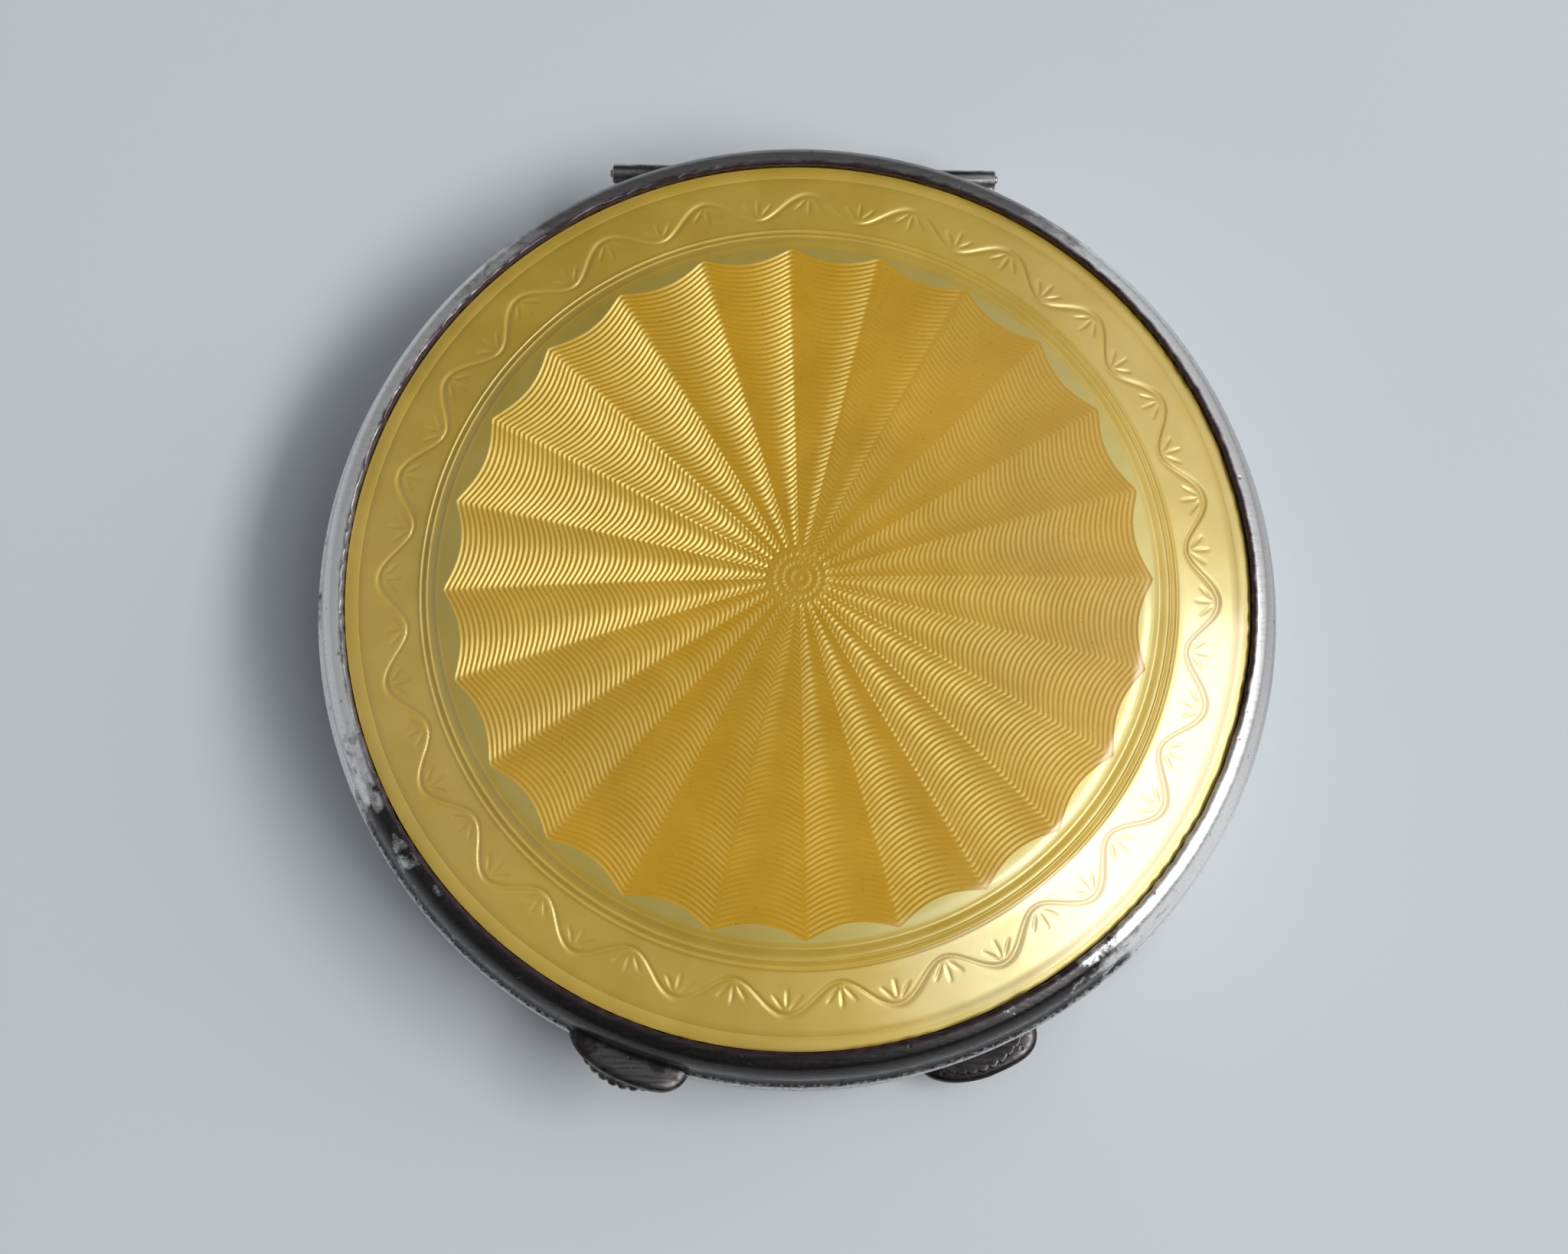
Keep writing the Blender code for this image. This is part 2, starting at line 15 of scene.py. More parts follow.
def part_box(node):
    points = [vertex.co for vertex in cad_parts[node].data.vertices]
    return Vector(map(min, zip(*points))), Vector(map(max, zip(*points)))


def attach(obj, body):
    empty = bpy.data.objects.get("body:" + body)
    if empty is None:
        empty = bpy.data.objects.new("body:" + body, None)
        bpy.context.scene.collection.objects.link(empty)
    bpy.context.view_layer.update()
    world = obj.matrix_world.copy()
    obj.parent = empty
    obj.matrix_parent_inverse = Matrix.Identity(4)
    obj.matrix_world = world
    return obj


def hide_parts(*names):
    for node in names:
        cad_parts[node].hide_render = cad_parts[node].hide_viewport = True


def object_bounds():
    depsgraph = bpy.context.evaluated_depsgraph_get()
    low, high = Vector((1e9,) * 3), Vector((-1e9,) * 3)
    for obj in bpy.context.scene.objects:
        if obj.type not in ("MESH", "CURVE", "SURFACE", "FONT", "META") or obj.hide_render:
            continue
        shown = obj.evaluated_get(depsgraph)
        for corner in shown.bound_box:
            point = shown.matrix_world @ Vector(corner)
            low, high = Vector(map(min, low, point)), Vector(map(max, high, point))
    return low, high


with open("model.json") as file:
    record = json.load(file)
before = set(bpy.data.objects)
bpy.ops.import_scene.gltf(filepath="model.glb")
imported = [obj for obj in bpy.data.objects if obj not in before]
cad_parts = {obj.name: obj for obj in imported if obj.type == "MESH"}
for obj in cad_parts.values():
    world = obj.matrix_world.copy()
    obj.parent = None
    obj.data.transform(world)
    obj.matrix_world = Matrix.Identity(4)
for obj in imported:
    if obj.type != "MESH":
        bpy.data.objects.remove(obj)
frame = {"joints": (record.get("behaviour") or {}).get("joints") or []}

cad_low, cad_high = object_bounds()

MM = 0.001


def corners(node):
    """Return the lowest and highest corner of a CAD node, in millimetres."""
    low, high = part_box(node)
    return np.array(low) / MM, np.array(high) / MM


enamel_low, enamel_high = corners("enamel_layer")
plate_low, plate_high = corners("guilloche_plate")
rim_low, rim_high = corners("top_lid_rim")
shell_low, shell_high = corners("bottom_lid_shell")
band_low, band_high = corners("middle_band")
joints = {joint["name"]: joint for joint in frame["joints"]}
TOP_AXIS = np.array(joints["top_lid_hinge"]["pos_m"]) / MM
BOTTOM_AXIS = np.array(joints["bottom_lid_hinge"]["pos_m"]) / MM

# The face: a sloping border, a step and a domed centre.
FACE_RADIUS = enamel_high[0]
STEP_OUTER = 0.8233 * FACE_RADIUS
STEP_INNER = 0.7759 * FACE_RADIUS
LIP_RISE = 0.17
EDGE_HEIGHT = rim_high[2] - LIP_RISE
STEP_OUTER_HEIGHT = EDGE_HEIGHT + 1.10
STEP_INNER_HEIGHT = EDGE_HEIGHT + 1.85
BOSS_HEIGHT = enamel_high[2]
PLATE_DEPTH = enamel_high[2] - plate_high[2]
PLATE_THICKNESS = 0.45
GLAZE_THICKNESS = 0.12
GLAZE_SOFTNESS = 0.35        # how far the enamel's surface rounds off the step below it

# The engine-turned sunburst.
FLUTES = 24
CUSP_TURN = math.radians(-13.1)
CUSP_SOFTNESS = 0.04
SWING = 0.78                 # from a scallop's trough to its cusp, at the sunburst's edge
SWING_GROWTH = 0.55
GROOVE_PITCH = 0.285
GROOVE_COUNT = 57
GROOVE_DEPTH = 0.07
GROOVE_ROWS = ((0.04, 0.08, -0.47), (0.46, 0.92, -0.47), (0.54, 0.92, 0.385), (0.96, 0.08, 0.385))
GROOVE_START = STEP_INNER - GROOVE_COUNT * GROOVE_PITCH
FLUTE_STEPS = 16
BOSS_STEP = 0.10
BOSS_RING_PITCH = 0.47
BOSS_RING_HEIGHT = 0.018

# The engraved border.
VINE_TURN = math.radians(-15.7)
VINE_RADIUS = 0.892 * FACE_RADIUS
VINE_SWING = 0.77
VINE_WIDTH = 0.11
VINE_DEPTH = 0.085
LEAF_ANGLES = (-40, 0, 40)
LEAF_MIDDLE = 0.70
LEAF_HALF_LENGTH = 0.52
LEAF_WIDTH = 0.09
LEAF_DEPTH = 0.05
RIDGES = ((18.35, 0.10, 0.05), (18.90, 0.10, 0.13), (19.25, 0.08, 0.08),
          (22.50, 0.035, -0.025))      # radius, width, height
BORDER_STEPS = 1440

# Metalwork.
BEAD_HEIGHT = 1.27           # the bead's middle, above the lid's seam
BEAD_RADIUS = 0.38
SHOULDER_RADIUS = 24.62
SHOULDER_OFFSET = 0.7
WALL_RADIUS = 24.55
WALL_INNER_RADIUS = 23.75
TURN_STEPS = 360
HINGE_HALF_LENGTH = 10.5
LID_RELIEF_RADIUS = 0.60
BAND_RELIEF_RADIUS = 0.51
TUBE_PITCH = 4.2
TUBE_LENGTH = 4.14
TUBE_RADIUS = 0.50
TUBE_BORE = 0.25
PIN_RADIUS = 0.21
BEARER_START = 4.0
TOP_THUMB_TURN = math.radians(-109.3)
BOTTOM_THUMB_TURN = math.radians(-66.5)
TAB_HALF_LENGTH = 3.25
TAB_HALF_HEIGHT = 0.53
GRIP_RADIUS = 3.3
GRIP_HALF_ARC = 68.0         # degrees
SERRATED_ARC = 120.0
SERRATIONS = 13
SERRATION_DEPTH = 0.12


# Meshes -----------------------------------------------------------------------------------------

def ring_angles(count):
    """Return evenly spaced angles round the axis."""
    return np.arange(count) * (2 * math.pi / count)


def polar_points(radius, turn, height):
    """Return points from radii, angles and heights that broadcast together."""
    radius, turn, height = np.broadcast_arrays(radius, turn, height)
    return np.stack([radius * np.cos(turn), radius * np.sin(turn), height], axis=-1)


def link_mesh(name, points, quads, triangles=(), normals=None):
    """Make a smooth-shaded object from points in millimetres, its faces turned outwards."""
    triangles = np.asarray(triangles, int).reshape(-1, 3)
    split = np.vstack([quads[:, [0, 1, 2]], quads[:, [0, 2, 3]], triangles])
    a, b, c = (points[split[:, index]] for index in range(3))
    if np.einsum("ij,ij->i", a, np.cross(b, c)).sum() < 0:
        quads = quads[:, ::-1]
        triangles = triangles[:, ::-1]
    mesh = bpy.data.meshes.new(name)
    mesh.from_pydata((points * MM).tolist(), [], quads.tolist() + triangles.tolist())
    mesh.polygons.foreach_set("use_smooth", np.ones(len(mesh.polygons), bool))
    if normals is not None:
        mesh.normals_split_custom_set_from_vertices(normals.tolist())
    mesh.update()
    made = bpy.data.objects.new(name, mesh)
    bpy.context.scene.collection.objects.link(made)
    return made


def mesh_from_rows(name, rows, poles, normals=None):
    """Join rows of points round the axis into one closed body.

    With poles, the first and the last row shrink to one point each. Without, the rows close on
    themselves into a ring.
    """
    count, steps = rows.shape[:2]
    columns = np.arange(steps)
    following = (columns + 1) % steps
    first, last = (1, count - 2) if poles else (0, count - 1)
    index = np.arange(count * steps).reshape(count, steps)
    pairs = list(zip(range(first, last), range(first + 1, last + 1)))
    if not poles:
        pairs.append((last, first))
    quads = np.vstack([np.stack([index[low][columns], index[low][following],
                                 index[high][following], index[high][columns]], axis=1)
                       for low, high in pairs])
    points = rows.reshape(-1, 3)
    if not poles:
        return link_mesh(name, points, quads, normals=normals)
    start = np.stack([np.full(steps, index[0][0]), index[1][following], index[1][columns]], axis=1)
    end = np.stack([np.full(steps, index[-1][0]), index[-2][columns], index[-2][following]], axis=1)
    keep = np.concatenate([[0], np.arange(steps, (count - 1) * steps), [(count - 1) * steps]])
    new_index = np.full(count * steps, -1)
    new_index[keep] = np.arange(len(keep))
    if normals is not None:
        normals = normals.reshape(-1, 3)[keep]
    return link_mesh(name, points[keep], new_index[quads], new_index[np.vstack([start, end])], normals)


def turned(name, profile, poles, steps=TURN_STEPS, wobble=None):
    """Turn a profile of (radius, height) points about Z. wobble(turn) shifts the marked radii."""
    turn = ring_angles(steps)
    rows = []
    for entry in profile:
        radius, height = entry[:2]
        shift = wobble(turn) * entry[2] if wobble and len(entry) > 2 else 0.0
        rows.append(polar_points(radius + shift, turn, height))
    return mesh_from_rows(name, np.array(rows), poles)


def sharpen(made, degrees=35):
    """Keep the edges of a smooth-shaded piece crisp where its faces turn sharply."""
    made.data.set_sharp_from_angle(angle=math.radians(degrees))
    return made


def arc(centre, radius, start, end, count):
    """Return points along a circle's arc, angles in degrees."""
    angles = np.radians(np.linspace(start, end, count + 1))
    return [(centre[0] + radius * math.cos(a), centre[1] + radius * math.sin(a)) for a in angles]


def rounded(profile, radius, segments=4):
    """Round every corner of a closed profile by the same radius, or less where sides are short."""
    result = []
    points = [np.array(point[:2], float) for point in profile]
    for index, point in enumerate(points):
        before = points[index - 1] - point
        after = points[(index + 1) % len(points)] - point
        reach = min(radius, 0.45 * np.linalg.norm(before), 0.45 * np.linalg.norm(after))
        start = point + before / np.linalg.norm(before) * reach
        end = point + after / np.linalg.norm(after) * reach
        for share in np.linspace(0, 1, segments + 1):
            blend = (1 - share) ** 2 * start + 2 * share * (1 - share) * point + share ** 2 * end
            result.append(tuple(blend))
    return result


def cut_or_join(made, others):
    """Apply exact Booleans, given as (object, operation), and remove the tools."""
    for other, operation in others:
        step = made.modifiers.new("shape", "BOOLEAN")
        step.operation = operation
        step.solver = "EXACT"
        step.object = other
    graph = bpy.context.evaluated_depsgraph_get()
    mesh = bpy.data.meshes.new_from_object(made.evaluated_get(graph))
    made.modifiers.clear()
    made.data = mesh
    mesh.polygons.foreach_set("use_smooth", np.ones(len(mesh.polygons), bool))
    for other, _ in others:
        bpy.data.objects.remove(other)
    return made


def cylinder(name, radius, length, centre, along="X", segments=96):
    """Make a cylinder centred on a point, along X or Z."""
    bm = bmesh.new()
    bmesh.ops.create_cone(bm, cap_ends=True, segments=segments, radius1=radius * MM,
                          radius2=radius * MM, depth=length * MM)
    if along == "X":
        bmesh.ops.rotate(bm, matrix=Matrix.Rotation(math.pi / 2, 3, "Y"), verts=bm.verts)
    bmesh.ops.translate(bm, vec=Vector(centre) * MM, verts=bm.verts)
    mesh = bpy.data.meshes.new(name)
    bm.to_mesh(mesh)
    bm.free()
    made = bpy.data.objects.new(name, mesh)
    bpy.context.scene.collection.objects.link(made)
    return made


def soft_block(name, low, high, rounding, segments=6):
    """Make a box with rounded edges between two corners."""
    low, high = Vector(low), Vector(high)
    bm = bmesh.new()
    bmesh.ops.create_cube(bm, size=1.0)
    bmesh.ops.scale(bm, vec=(high - low) * MM, verts=bm.verts)
    bmesh.ops.translate(bm, vec=(high + low) / 2 * MM, verts=bm.verts)
    bmesh.ops.bevel(bm, geom=bm.edges[:], offset=rounding * MM, segments=segments, profile=0.5,
                    affect="EDGES")
    mesh = bpy.data.meshes.new(name)
    bm.to_mesh(mesh)
    bm.free()
    made = bpy.data.objects.new(name, mesh)
    bpy.context.scene.collection.objects.link(made)
    return made


# The enamelled face -----------------------------------------------------------------------------

def face_height(radius):
    """Height of the finished face at a radius."""
    radius = np.asarray(radius, float)
    dome = BOSS_HEIGHT - (radius / STEP_INNER) ** 2 * (BOSS_HEIGHT - STEP_INNER_HEIGHT)
    outside = np.interp(radius, [STEP_INNER, STEP_OUTER, FACE_RADIUS],
                        [STEP_INNER_HEIGHT, STEP_OUTER_HEIGHT, EDGE_HEIGHT])
    return np.where(radius < STEP_INNER, dome, outside)


def dome_slope(radius):
    """Slope of the domed centre at a radius."""
    return -2 * radius / STEP_INNER ** 2 * (BOSS_HEIGHT - STEP_INNER_HEIGHT)


def groove_radius(reach, turn):
    """Radius of a scalloped groove whose cusps reach out to a radius."""
    phase = (FLUTES * (turn - CUSP_TURN) / math.pi + 1) % 2 - 1
    cusp = (1 - np.minimum(np.hypot(phase, CUSP_SOFTNESS), 1)) ** 2
    swing = SWING * (reach / STEP_INNER) ** SWING_GROWTH
    return reach - swing * (1 - cusp)


def sunburst_rows():
    """Return the reach, height offset, slope and scalloping of every row of the engine turning."""
    rows = []
    boss_edge = GROOVE_START
    for radius in np.arange(0.0, boss_edge - BOSS_STEP / 2, BOSS_STEP):
        phase = 2 * math.pi * radius / BOSS_RING_PITCH
        rows.append((radius, BOSS_RING_HEIGHT * (math.cos(phase) - 1),
                     -BOSS_RING_HEIGHT * 2 * math.pi / BOSS_RING_PITCH * math.sin(phase),
                     radius / boss_edge, False))
    for groove in range(GROOVE_COUNT):
        for share, depth, slope in GROOVE_ROWS:
            rows.append((boss_edge + (groove + share) * GROOVE_PITCH, -GROOVE_DEPTH * depth, slope,
                         1.0, True))
    rows.append((STEP_INNER - 0.005, 0.0, 0.0, 1.0, False))
    rows.append((STEP_INNER, 0.0, 0.0, 0.0, False))
    return rows


def make_sunburst():
    """Make the domed centre of the plate, with its scalloped grooves."""
    turn = ring_angles(FLUTES * FLUTE_STEPS)
    small = 1e-4
    points, normals = [], []
    for reach, offset, slope, scalloping, is_cut in sunburst_rows():
        scalloped = groove_radius(reach, turn) if reach > 0 else 0.0 * turn
        radius = reach + (scalloped - reach) * scalloping
        swing_rate = 0.0
        if reach > 0:
            ahead, behind = groove_radius(reach, turn + small), groove_radius(reach, turn - small)
            swing_rate = (ahead - behind) / (2 * small) * scalloping / np.maximum(radius, 0.05)
        height = face_height(radius) - PLATE_DEPTH + offset
        points.append(polar_points(radius, turn, height))
        along = slope if is_cut else dome_slope(radius) + slope
        across = -slope * swing_rate
        normal = np.stack([-(along * np.cos(turn) - across * np.sin(turn)),
                           -(along * np.sin(turn) + across * np.cos(turn)),
                           np.ones_like(turn)], axis=-1)
        normals.append(normal / np.linalg.norm(normal, axis=1, keepdims=True))
    down = np.tile([0.0, 0.0, -1.0], (len(turn), 1))
    for share in (1.0, 0.66, 0.33, 0.0):
        radius = STEP_INNER * share
        points.append(polar_points(radius, turn, face_height(radius) - PLATE_DEPTH - PLATE_THICKNESS))
        normals.append(down)
    made = mesh_from_rows("sunburst_ground", np.array(points), True, np.array(normals))
    lens_start = (len(sunburst_rows()) - 3) * len(turn)
    index = np.zeros(len(made.data.polygons), int)
    index[lens_start:lens_start + len(turn)] = 1
    made.data.materials.append(None)
    made.data.materials.append(None)
    made.data.polygons.foreach_set("material_index", index)
    return made


def leaf_cuts(radius, turn, middle_turn, apex, outwards):
    """Depth of a sprig of three leaf cuts that fan out from an apex."""
    period = 2 * math.pi / FLUTES
    offset = (turn - middle_turn + period / 2) % period - period / 2
    sideways = radius * offset
    ahead = outwards * (radius - apex)
    depth = np.zeros(np.broadcast(radius, turn).shape)
    for degrees in LEAF_ANGLES:
        angle = math.radians(degrees)
        along = sideways * math.sin(angle) + ahead * math.cos(angle)
        across = sideways * math.cos(angle) - ahead * math.sin(angle)
        taper = np.clip(1 - ((along - LEAF_MIDDLE) / LEAF_HALF_LENGTH) ** 2, 0, 1)
        depth = np.maximum(depth, LEAF_DEPTH * taper * np.exp(-(across / LEAF_WIDTH) ** 2))
    return depth


def border_height(radius, turn):
    """Height of the plate's border: its slope, mouldings, vine and leaves."""
    height = face_height(radius) - PLATE_DEPTH
    for ridge_radius, width, rise in RIDGES:
        height = height + rise * np.exp(-((radius - ridge_radius) / width) ** 2)
    phase = FLUTES * (turn - VINE_TURN)
    line = VINE_RADIUS + VINE_SWING * np.cos(phase)
    lean = VINE_SWING * FLUTES * np.sin(phase) / VINE_RADIUS
    distance = (radius - line) / np.sqrt(1 + lean ** 2)
    width = VINE_WIDTH * (1 + 0.35 * np.sin(phase + 0.6))
    vine = VINE_DEPTH * np.exp(-(distance / width) ** 2)
    half_period = math.pi / FLUTES
    outer = leaf_cuts(radius, turn, VINE_TURN, VINE_RADIUS + VINE_SWING - 0.1, -1)
    inner = leaf_cuts(radius, turn, VINE_TURN + half_period, VINE_RADIUS - VINE_SWING + 0.1, 1)
    return height - np.maximum(vine, np.maximum(outer, inner))


def border_radii():
    """Radii of the border's rows: fine over the vine and close around each moulding line."""
    radii = [STEP_INNER, STEP_OUTER, FACE_RADIUS]
    for ridge_radius, width, _ in RIDGES:
        radii += [ridge_radius + width * share for share in (-1.6, -0.7, 0.0, 0.7, 1.6)]
    radii += list(np.arange(STEP_OUTER + 0.32, VINE_RADIUS + VINE_SWING + 0.45, 0.075))
    radii += [22.1, 23.0]
    return np.unique(np.round(radii, 3))


def make_border():
    """Make the engraved border of the plate."""
    turn = ring_angles(BORDER_STEPS)[None, :]
    radius = border_radii()[:, None]
    height = border_height(radius, turn)
    small = 0.02
    slope = (border_height(radius + small, turn) - border_height(radius - small, turn)) / (2 * small)
    sway = (border_height(radius, turn + small / radius)
            - border_height(radius, turn - small / radius)) / (2 * small)
    normal = np.stack([-(slope * np.cos(turn) - sway * np.sin(turn)),
                       -(slope * np.sin(turn) + sway * np.cos(turn)),
                       np.ones_like(slope)], axis=-1)
    normal /= np.linalg.norm(normal, axis=-1, keepdims=True)
    points = polar_points(radius, turn, height)
    under = np.array([[FACE_RADIUS], [STEP_OUTER], [STEP_INNER]])
    lower = polar_points(under, turn, face_height(under) - PLATE_DEPTH - PLATE_THICKNESS)
    down = np.broadcast_to([0.0, 0.0, -1.0], lower.shape)
    return mesh_from_rows("border_ground", np.concatenate([points, lower]), False,
                          np.concatenate([normal, down]).reshape(-1, 3))


def make_glaze():
    """Make the clear enamel over the plate, a closed smooth shell."""
    fine = np.arange(0.0, FACE_RADIUS + 6 * GLAZE_SOFTNESS, 0.05)
    offsets = np.arange(-3 * GLAZE_SOFTNESS, 3.01 * GLAZE_SOFTNESS, 0.05)
    weights = np.exp(-(offsets / GLAZE_SOFTNESS) ** 2 / 2)
    slope = (STEP_OUTER_HEIGHT - EDGE_HEIGHT) / (FACE_RADIUS - STEP_OUTER)

    def extended(radius):
        beyond = np.maximum(radius - FACE_RADIUS, 0)
        return face_height(np.abs(radius)) - slope * beyond

    smooth = sum(weight * extended(fine + offset) for offset, weight in zip(offsets, weights))
    smooth /= weights.sum()
    radii = np.concatenate([np.linspace(0, 16.5, 18), np.linspace(16.8, 20.0, 17),
                            np.linspace(20.5, FACE_RADIUS, 7)])
    heights = np.interp(radii, fine, smooth)
    top = list(zip(radii, heights))
    under = [(radius, height - GLAZE_THICKNESS) for radius, height in reversed(top)]
    return turned("enamel_glaze", top + under, True, steps=192)


# Metalwork --------------------------------------------------------------------------------------

def lip_wobble(turn):
    """Unevenness of the lip that was rubbed over the enamel by hand."""
    chance = np.random.default_rng(11)
    shift = np.zeros_like(turn)
    for waves in list(range(3, 60, 4)) + list(range(118, 170, 5)):
        size = 0.008
        shift += size * chance.normal() * np.cos(waves * turn + chance.uniform(0, 2 * math.pi))
    return shift


def bead_and_wall():
    """Outline from the shoulder over the bead to the wall, heights from the bead's middle."""
    outline = [(SHOULDER_RADIUS, SHOULDER_OFFSET)]
    outline += arc((cad_high[0] / MM - BEAD_RADIUS, 0.0), BEAD_RADIUS, 62, -62, 10)
    outline.append((WALL_RADIUS, -SHOULDER_OFFSET * 0.6))
    return outline


def hinge_relief(name, axis, radius):
    """Make a cutter along a hinge axis."""
    return cylinder(name, radius, 2 * HINGE_HALF_LENGTH, axis)


def make_rim():
    """Make the top lid's rim with its uneven lip, rounded shoulder and bead."""
    seam = rim_low[2]
    bead = seam + BEAD_HEIGHT
    top = rim_high[2]
    lip = FACE_RADIUS + 0.30
    shoulder = arc((lip + 0.22, bead + SHOULDER_OFFSET), 1.0, 90, 0, 8)
    spread = SHOULDER_RADIUS - lip - 0.22
    rise = top - 0.09 - bead - SHOULDER_OFFSET
    shoulder = [(lip + 0.22 + (r - lip - 0.22) * spread, bead + SHOULDER_OFFSET
                 + (z - bead - SHOULDER_OFFSET) * rise) for r, z in shoulder]
    profile = [(FACE_RADIUS + 0.06, EDGE_HEIGHT + 0.05, 1.0), (FACE_RADIUS + 0.13, top - 0.03, 1.0),
               (lip - 0.08, top, 0.5), (lip + 0.08, top - 0.02, 0.3)]
    profile += shoulder
    profile += [(radius, bead + height) for radius, height in bead_and_wall()[1:]]
    profile += [(WALL_RADIUS, seam + 0.06), (WALL_RADIUS - 0.06, seam), (WALL_INNER_RADIUS, seam),
                (WALL_INNER_RADIUS, 7.91), (22.4, 8.146), (22.4, 8.646), (FACE_RADIUS + 0.05, 8.5)]
    rim = turned("rim_of_top_lid", profile, False, steps=2 * TURN_STEPS, wobble=lip_wobble)
    cut_or_join(rim, [(hinge_relief("top_relief", TOP_AXIS, LID_RELIEF_RADIUS), "DIFFERENCE")])
    return sharpen(rim)


def make_shell():
    """Make the bottom lid: a pan with a bead, rounded edge and flat base."""
    seam = shell_high[2]
    bead = seam - BEAD_HEIGHT
    outer = [(WALL_RADIUS - 0.06, seam), (WALL_RADIUS, seam - 0.06)]
    outer += [(radius, bead - height) for radius, height in reversed(bead_and_wall())]
    edge = bead - SHOULDER_OFFSET
    outer += [(21.8 + (SHOULDER_RADIUS - 21.8) * math.cos(a), edge * (1 - math.sin(a)))
              for a in np.linspace(math.pi / 20, math.pi / 2, 10)]
    outer += [(14.0, 0.0), (7.0, 0.0), (0.0, 0.0)]
    inside = [(0.0, 0.5), (10.0, 0.5), (21.6, 0.5), (22.4, 0.68), (23.0, 1.0), (23.5, 1.42),
              (WALL_INNER_RADIUS, 1.9), (WALL_INNER_RADIUS, seam)]
    shell = turned("pan_of_bottom_lid", inside + outer, True)
    cut_or_join(shell, [(hinge_relief("bottom_relief", BOTTOM_AXIS, LID_RELIEF_RADIUS), "DIFFERENCE")])
    return sharpen(shell)


def make_band():
    """Make the band that both lids close on, grooved for the hinge tubes."""
    outer, inner = band_high[0], band_high[0] - 0.8
    low, high = band_low[2], band_high[2]
    corners_of_band = [(outer, high), (outer, low), (inner, low), (inner, high)]
    band = turned("band_between_lids", rounded(corners_of_band, 0.12), False)
    reliefs = [(hinge_relief("relief", axis, BAND_RELIEF_RADIUS), "DIFFERENCE")
               for axis in (TOP_AXIS, BOTTOM_AXIS)]
    cut_or_join(band, reliefs)
    return sharpen(band)


def lay_along_x(made, axis):
    """Turn a piece that stands on Z so that it lies along a hinge axis."""
    for vertex in made.data.vertices:
        x, y, z = vertex.co
        vertex.co = (z, axis[1] * MM + x, axis[2] * MM + y)
    return made


def make_tube(name, middle, axis):
    """Make a hinge tube with softened rims."""
    half = TUBE_LENGTH / 2
    profile = rounded([(TUBE_BORE, half), (TUBE_RADIUS, half), (TUBE_RADIUS, -half),
                       (TUBE_BORE, -half)], 0.10)
    shifted = [(radius, height + middle) for radius, height in profile]
    return lay_along_x(turned(name, shifted, False, steps=64), axis)


def make_lid_tube(name, middle, axis, side):
    """Make a lid's hinge tube with the web that joins it to the lid's wall."""
    tube = make_tube(name, middle, axis)
    half = TUBE_LENGTH / 2 - 0.05
    near, far = sorted((axis[2] + side * 0.12, axis[2] + side * 0.58))
    web = soft_block(name + "_web", (middle - half, axis[1] - 0.44, near),
                     (middle + half, axis[1] + 0.18, far), 0.04, 2)
    limit = cylinder(name + "_limit", LID_RELIEF_RADIUS - 0.02, TUBE_LENGTH, (middle, *axis[1:]))
    cut_or_join(web, [(limit, "INTERSECT")])
    bore = cylinder(name + "_bore", TUBE_BORE, TUBE_LENGTH + 1.0, (middle, *axis[1:]))
    cut_or_join(tube, [(web, "UNION"), (bore, "DIFFERENCE")])
    return sharpen(tube)


def make_pin(name, axis):
    """Make a hinge pin with rounded ends."""
    half = HINGE_HALF_LENGTH + 0.12
    nose = arc((PIN_RADIUS - 0.1, half - 0.1), 0.1, 90, 0, 5)
    tail = [(radius, -height) for radius, height in reversed(nose)]
    profile = [(0.0, half)] + nose + tail + [(0.0, -half)]
    return lay_along_x(turned(name, profile, True, steps=48), axis)


def make_bearer(name, start, end):
    """Make a block that carries the hinge tubes behind the band."""
    low, high = band_low[2] + 0.1, band_high[2] - 0.1
    bearer = soft_block(name, (start, TOP_AXIS[1] - 4.0, low), (end, TOP_AXIS[1] + 0.28, high), 0.25)
    outside = cylinder(name + "_band", band_high[0] + 0.03, 6.0, (0.0, 0.0, (low + high) / 2), "Z", 720)
    reliefs = [(hinge_relief(name + "_groove", axis, BAND_RELIEF_RADIUS), "DIFFERENCE")
               for axis in (TOP_AXIS, BOTTOM_AXIS)]
    cut_or_join(bearer, [(outside, "DIFFERENCE")] + reliefs)
    return sharpen(bearer)


def lofted(name, sections, turn, squareness):
    """Join upright sections that stand side by side across a radius of the box.

    A section is (across, inner, outer, low, high). The first and the last shrink to a point.
    """
    around = ring_angles(48)
    power = 2 / squareness
    reach = np.sign(np.cos(around)) * np.abs(np.cos(around)) ** power
    rise = np.sign(np.sin(around)) * np.abs(np.sin(around)) ** power
    rows = []
    for across, inner, outer, low, high in sections:
        along = (inner + outer) / 2 + (outer - inner) / 2 * reach
        height = (low + high) / 2 + (high - low) / 2 * rise
        rows.append(np.stack([along * math.cos(turn) - across * math.sin(turn),
                              along * math.sin(turn) + across * math.cos(turn), height], axis=-1))
    return mesh_from_rows(name, np.array(rows), True)


def make_tab(name, turn, middle, reach, taper):
    """Make a thumb-piece's rounded bar. taper is the side, 1 or -1, that runs out thinner."""
    sections = []
    for across in TAB_HALF_LENGTH * np.sin(np.linspace(-math.pi / 2, math.pi / 2, 65)):
        share = across / TAB_HALF_LENGTH
        body = max(1 - abs(share) ** 5, 0.0) ** (1 / 2.2)
        thinner = 1 - 0.42 * np.clip(share * taper, 0, 1) ** 1.5
        wall = math.sqrt((WALL_RADIUS + 0.05) ** 2 - across ** 2)
        outer = wall + (reach - WALL_RADIUS) * body * thinner
        half = TAB_HALF_HEIGHT * max(1 - abs(share) ** 5, 0.0) ** 0.5
        inner = wall - 0.12 if body > 0 else outer
        sections.append((across, inner, outer, middle - half, middle + half))
    return lofted(name, sections, turn, 3.0)


